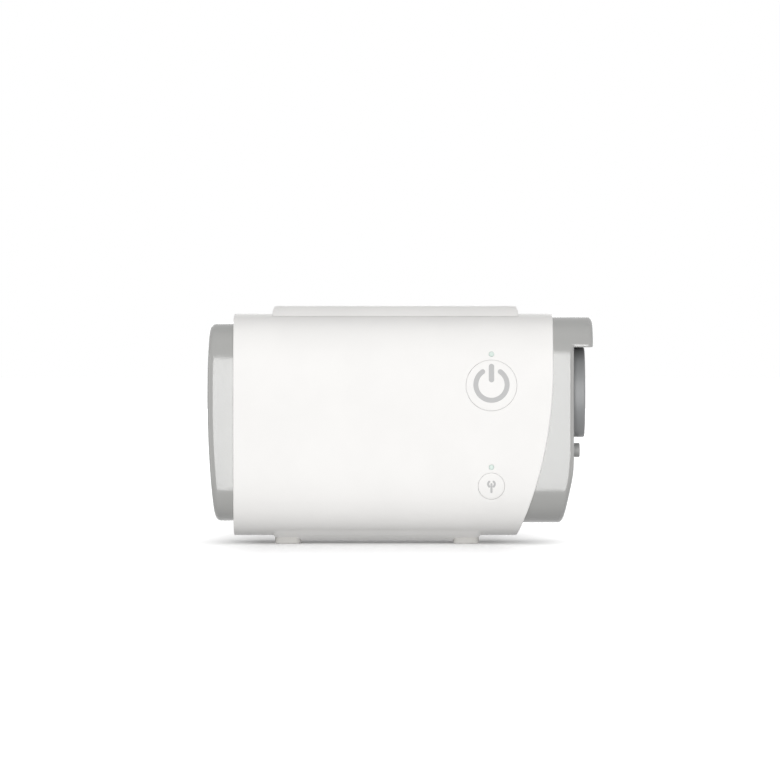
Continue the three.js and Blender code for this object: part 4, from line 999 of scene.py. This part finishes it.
def buildPort():
    tube, bore = port["tube"], port["bore"]
    left, right = portLow.x, portHigh.x
    collar = (portHigh.z - portLow.z) / 2
    collarLeft = portPlane + port["collarGap"]
    lip, floor = tube + port["grooveWidth"], right - port["groove"]
    corners = [      # radius, place along the port, and how much the corner is rounded
        (bore, left, 0), (tube, left, 0), (tube, collarLeft, 0), (collar, collarLeft, 0.2 * mm),
        (collar, right, 0.6 * mm), (lip, right, 0.25 * mm), (lip, floor, 0.1 * mm), (tube, floor, 0.1 * mm),
        (tube, right, 0.3 * mm), (bore, right, 0.4 * mm),
    ]
    profile = rounded([corner[:2] for corner in corners], [corner[2] for corner in corners])
    skin = turned(profile, "X", (0, 0, portZ), port["steps"])
    newPiece("outlet_port_skin", skin, "root", "dark_port", "outlet_port")


inlet = {
    "barrel": 2.5 * mm,
    "bore": 1.8 * mm,
    "pinHole": 0.9 * mm,
    "boreDepth": 9 * mm,
    "pinEnd": 0.35 * mm,
    "steps": 64,
    "pinSteps": 32,
}


def buildPowerInlet():
    left, right = inletLow.x, inletHigh.x
    barrel, bore, pinHole = inlet["barrel"], inlet["bore"], inlet["pinHole"]
    floor = right - inlet["boreDepth"]
    profile = [(pinHole, left), (barrel, left), (barrel, right), (bore, right), (bore, floor),
               (pinHole, floor)]
    profile = rounded(profile, [0, 0, 0.35 * mm, 0.25 * mm, 0.1 * mm, 0])
    skin = turned(profile, "X", (0, 0, powerZ), inlet["steps"])
    newPiece("power_inlet_skin", skin, "root", "dark_port", "power_inlet", "inlet_grey")
    low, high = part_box("power_pin")
    pin = (high.y - low.y) / 2
    profile = rounded([(0, low.x), (pin, low.x), (pin, high.x), (0, high.x)], [0, 0, inlet["pinEnd"], 0])
    skin = turned(profile, "X", (0, 0, powerZ), inlet["pinSteps"])
    newPiece("power_pin_skin", skin, "root", "bright_metal", "power_pin")


buildPort()
buildPowerInlet()
print("port and inlet done")


# Buttons take the body's own surface
def buildButton(which):
    z, radius, rim = controls[f"{which}Z"], controls[f"{which}Radius"], controls["buttonRim"]
    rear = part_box(f"{which}_button")[1].y
    depth = rear - frontY(z)
    step = controls["buttonStep"]
    profile = [(0, 0)] + [(place, 0) for place in stations((step, step), (radius - rim, step))]
    inner = radius - rim
    profile += [(inner + rim * math.sin(turn), rim - rim * math.cos(turn)) for turn in quarterTurns(3)[1:]]
    bm = turned(profile + [(radius, depth), (0, depth)], "Y", (0, 0, 0), controls["buttonSteps"])
    for vert in bm.verts:
        face = frontY(z + vert.co.z)
        vert.co = (controls["x"] + vert.co.x, face + vert.co.y * (rear - face) / depth, z + vert.co.z)
    newPiece(f"{which}_button_cap", bm, f"{which}_button", "white_shell", f"{which}_button")


# The outline of a light: share of its radius, and how far that place lies behind the body's face
lensOutline = [(0, -0.02 * mm), (0.5, 0), (0.85, 0.06 * mm), (1, 0.2 * mm)]


def buildLight(which):
    z = controls[f"{which}LightZ"]
    radius = controls["lightRadius"]
    face = frontY(z)
    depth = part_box(f"{which}_light")[1].y - face
    profile = [(radius * share, behind) for share, behind in lensOutline] + [(radius, depth), (0, depth)]
    lens = turned(profile, "Y", (controls["x"], face, z), controls["lightSteps"])
    newPiece(f"{which}_light_lens", lens, "root", "light_lens", f"{which}_light")


for build in (buildButton, buildLight):
    build("start")
    build("pair")
print("buttons and lights done")

# Printed marks lie on the buttons as thin raised ink
marks = {"rise": 0.02 * mm, "sink": 0.03 * mm, "tipShare": 0.08, "tipSteps": 8}
startMark = {"ring": 5.5 * mm, "stroke": 1.75 * mm, "gapAngle": 34, "barLow": 0.8 * mm, "barHigh": 7.3 * mm,
             "barWidth": 1.9 * mm, "lift": 0.3 * mm}
radioMark = {"stroke": 0.75 * mm, "mastLow": -2.05 * mm, "mastHigh": 0.75 * mm, "arcRadius": 1.15 * mm,
             "arcHalf": 48}


def strokeAlong(bm, places, width):
    # a flat stroke with round ends through a list of (across, up) places
    def aheadAt(i):
        before, after = Vector(places[max(i - 1, 0)]), Vector(places[min(i + 1, len(places) - 1)])
        return (after - before).normalized()

    def tipRows(i, side):
        # from the blunt tip of a round end up to its full width
        shapes = [(math.cos(turn), math.sin(turn)) for turn in quarterTurns(marks["tipSteps"])[1:-1]]
        shapes.insert(0, (1, 2 * marks["tipShare"]))
        return [(Vector(places[i]) + aheadAt(i) * side * width / 2 * out, rights[i], width / 2 * half)
                for out, half in shapes]

    def corners(row):
        middle, right, half = row
        return [(middle.x + right.x * half * s, 0, middle.y + right.y * half * s) for s in (-1, 1)]

    end = len(places) - 1
    rights = [Vector((aheadAt(i).y, -aheadAt(i).x)) for i in range(len(places))]
    rows = tipRows(0, -1) + [(Vector(place), right, width / 2) for place, right in zip(places, rights)]
    rows += reversed(tipRows(end, 1))
    edge = bm.edges.new([bm.verts.new(corner) for corner in corners(rows[0])])
    for row in rows[1:]:
        grown = bmesh.ops.extrude_edge_only(bm, edges=[edge])
        edge = next(item for item in grown["geom"] if isinstance(item, bmesh.types.BMEdge))
        verts = sorted(vertsOf(grown), key=lambda vert: (Vector((vert.co.x, vert.co.z)) - row[0]).dot(row[1]))
        for vert, corner in zip(verts, corners(row)):
            vert.co = corner


def arcPlaces(radius, start, end, count, lift=0):
    turns = [math.radians(start + (end - start) * i / count) for i in range(count + 1)]
    return [(radius * math.sin(turn), lift + radius * math.cos(turn)) for turn in turns]


def linePlaces(low, high, count):
    return [(0, low + (high - low) * i / count) for i in range(count + 1)]


def layMark(name, bm, z, node):
    raised = set(vertsOf(bmesh.ops.extrude_face_region(bm, geom=bm.faces[:])))
    for vert in bm.verts:
        lift = -marks["rise"] if vert in raised else marks["sink"]
        vert.co = (controls["x"] + vert.co.x, frontY(z + vert.co.z) + lift, z + vert.co.z)
    newPiece(name, bm, node, "dark_port", finish="ink")


def buildStartMark():
    bm = bmesh.new()
    gap, bar = startMark["gapAngle"], startMark["barWidth"]
    strokeAlong(bm, arcPlaces(startMark["ring"], gap, 360 - gap, 64), startMark["stroke"])
    strokeAlong(bm, linePlaces(startMark["barLow"] + bar / 2, startMark["barHigh"] - bar / 2, 10), bar)
    layMark("start_mark", bm, controls["startZ"] + startMark["lift"], "start_button")


def buildRadioMark():
    bm = bmesh.new()
    top, half = radioMark["mastHigh"], radioMark["arcHalf"]
    strokeAlong(bm, linePlaces(radioMark["mastLow"], top, 4), radioMark["stroke"])
    for middle in (90, 270):
        arc = arcPlaces(radioMark["arcRadius"], middle - half, middle + half, 10, top)
        strokeAlong(bm, arc, radioMark["stroke"])
    layMark("pair_mark", bm, controls["pairZ"], "pair_button")


buildStartMark()
buildRadioMark()
print("marks done")

# The nodes that stay take a finish of the same list
keptFinishes = {
    "inner_frame": ["inlet_frame", "outlet_frame", "impeller"],
    "foam": ["muffler_foam"],
    "filter_media": ["air_filter"],
    "silicone": ["port_seal", "outlet_duct", "blower_mount"],
    "circuit_board": ["main_board"],
    "chip": ["processor", "pressure_sensor"],
    "socket": ["motor_socket", "power_socket"],
    "light_lens": ["start_led", "pair_led"],
    "bright_metal": ["radio_module", "supply_capacitor", "rotor_shaft", "bearing_front", "bearing_rear",
                     "stator_core", "start_switch", "pair_switch"]
                    + [f"board_screw_{i}" for i in range(1, 5)],
    "copper_wire": ["stator_windings"],
    "magnet": ["rotor_magnet"],
    "blower_housing": ["blower_front", "blower_rear", "motor_cap"],
    "lead_sleeve": ["motor_lead", "power_lead"],
}
for finishName, names in keptFinishes.items():
    for name in names:
        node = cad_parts[name]
        node.data.materials.clear()
        node.data.materials.append(finishes[finishName])
print("inner pieces finished")

# Floor, light and camera
studio = {
    "floorSize": 6, "floorColour": 1.0, "floorBounce": 0.25, "worldBright": 0.5,
    "paintedShadowGlow": (0.06, 0.55),      # of the floor's glow, beside the plinth and away from it: low beside it, a painted shadow under the object
    "paintedShadowReach": (0.025, 0.15), "paintedShadowSideways": 5,
    "keyPower": 30, "keySize": (0.52, 2.33), "keyPlace": (0, -1.9, -0.08),
    "fillSize": (1.4, 1.4),
    "fills": {"top": (1.5, (0, -0.5, 2)), "left": (6, (-2, -0.1, 0.1)), "right": (6, (2, -0.1, 0.1)),
              "back": (9, (0, 2, 0.2))},
    "distance": 2.6, "elevation": 1.2, "frameWidth": 277.2 * mm,
    "centreX": -3.61 * mm, "centreZ": 54.0 * mm,
    "sensor": 36, "farthest": 20,
}


def joined(tree, node, *sources):
    # a node fed from a row of sockets, in the order of its inputs
    for source, target in zip(sources, node.inputs):
        tree.links.new(source, target)
    return node.outputs[0]


def seenRays(tree):
    # 1 for rays that see a thing straight, in a mirror or through glass
    rays = nodeAt(tree, "ShaderNodeLightPath").outputs
    seen = rays["Is Camera Ray"]
    for kind in ("Glossy", "Transmission"):
        seen = joined(tree, nodeAt(tree, "ShaderNodeMath", operation="MAXIMUM"), seen, rays[f"Is {kind} Ray"])
    return seen


def paintedShadowAway(tree):
    # distance over the floor from the line under the plinth, counted more to its left and right; it spreads
    # the painted shadow of the floor's glow
    low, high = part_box("base_plinth")
    place = nodeAt(tree, "ShaderNodeTexCoord").outputs["Object"]
    for operation, value in (
        ("SUBTRACT", ((low.x + high.x) / 2, 0, 0)),
        ("ABSOLUTE", (0, 0, 0)),
        ("SUBTRACT", ((high.x - low.x) / 2, 0, 0)),
        ("MAXIMUM", (0, 0, 0)),
        ("MULTIPLY", (studio["paintedShadowSideways"], 1, 1)),
    ):
        step = nodeAt(tree, "ShaderNodeVectorMath", operation=operation)
        step.inputs[1].default_value = value
        place = joined(tree, step, place)
    away = nodeAt(tree, "ShaderNodeVectorMath", operation="LENGTH")
    tree.links.new(place, away.inputs[0])
    return away.outputs["Value"]


def paleFloor():
    # white where it is seen, with the object's shadow in its diffuse share, a painted shadow where its glow
    # is low beside the plinth, and clear from below
    material = bpy.data.materials.new("floor")
    material.use_nodes = True
    tree = material.node_tree
    tree.nodes.remove(tree.nodes["Principled BSDF"])
    bounce = nodeAt(tree, "ShaderNodeBsdfDiffuse", Color=(*[studio["floorBounce"]] * 3, 1)).outputs[0]
    shade = nodeAt(tree, "ShaderNodeBsdfDiffuse", Color=(*[studio["floorColour"]] * 3, 1)).outputs[0]
    paintedShadowGlow = nodeAt(tree, "ShaderNodeEmission")
    # the glow is weaker beside the plinth, which paints a shadow round the object
    strength = spanned(tree, paintedShadowAway(tree), studio["paintedShadowReach"], studio["paintedShadowGlow"])
    tree.links.new(strength, paintedShadowGlow.inputs["Strength"])
    bright = joined(tree, nodeAt(tree, "ShaderNodeAddShader"), shade, paintedShadowGlow.outputs[0])
    pale = joined(tree, nodeAt(tree, "ShaderNodeMixShader"), seenRays(tree), bounce, bright)
    under = joined(tree, nodeAt(tree, "ShaderNodeMath", operation="MULTIPLY"),
                   nodeAt(tree, "ShaderNodeNewGeometry").outputs["Backfacing"],
                   nodeAt(tree, "ShaderNodeLightPath").outputs["Is Camera Ray"])
    clear = nodeAt(tree, "ShaderNodeBsdfTransparent").outputs[0]
    whole = joined(tree, nodeAt(tree, "ShaderNodeMixShader"), under, pale, clear)
    tree.links.new(whole, tree.nodes["Material Output"].inputs["Surface"])
    return material


def layFloor():
    bm = bmesh.new()
    bmesh.ops.create_grid(bm, x_segments=1, y_segments=1, size=studio["floorSize"] / 2)
    mesh = meshOf("floor", bm)
    mesh.materials.append(paleFloor())
    floor = linked("floor", mesh)
    floor.visible_glossy = False      # the light's lower half reaches the object, as over a glass table
    floor.visible_shadow = False


def lightWorld():
    world = bpy.data.worlds.new("studio")
    bpy.context.scene.world = world
    world.use_nodes = True
    tree = world.node_tree
    back = tree.nodes["Background"]
    back.inputs["Color"].default_value = (1, 1, 1, 1)
    strength = spanned(tree, seenRays(tree), (0, 1), (studio["worldBright"], 1))
    tree.links.new(strength, back.inputs["Strength"])


def softLamp(name, power, size, place, ahead):
    light = bpy.data.lights.new(name, "AREA")
    light.shape = "RECTANGLE"
    light.energy = power
    light.size, light.size_y = size
    lamp = linked(name, light)
    lamp.location = place
    lamp.rotation_euler = ahead.to_track_quat("-Z", "Z").to_euler()


def placeCamera():
    camera = bpy.data.cameras.new("camera")
    camera.sensor_fit = "HORIZONTAL"
    camera.sensor_width = studio["sensor"]
    camera.lens = studio["sensor"] * studio["distance"] / studio["frameWidth"]
    camera.clip_end = studio["farthest"]
    viewer = linked("camera", camera)
    rise = math.radians(studio["elevation"])
    away = Vector((0, -math.cos(rise), math.sin(rise))) * studio["distance"]
    viewer.location = Vector((studio["centreX"], 0, studio["centreZ"])) + away
    viewer.rotation_euler = (-away).to_track_quat("-Z", "Y").to_euler()
    bpy.context.scene.camera = viewer


layFloor()
lightWorld()
softLamp("key", studio["keyPower"], studio["keySize"], studio["keyPlace"], Vector((0, 1, 0)))
for lampName, (power, lampPlace) in studio["fills"].items():
    softLamp(lampName, power, studio["fillSize"], lampPlace, -Vector(lampPlace))
placeCamera()
bpy.context.scene.view_settings.view_transform = "Standard"
print("studio ready")
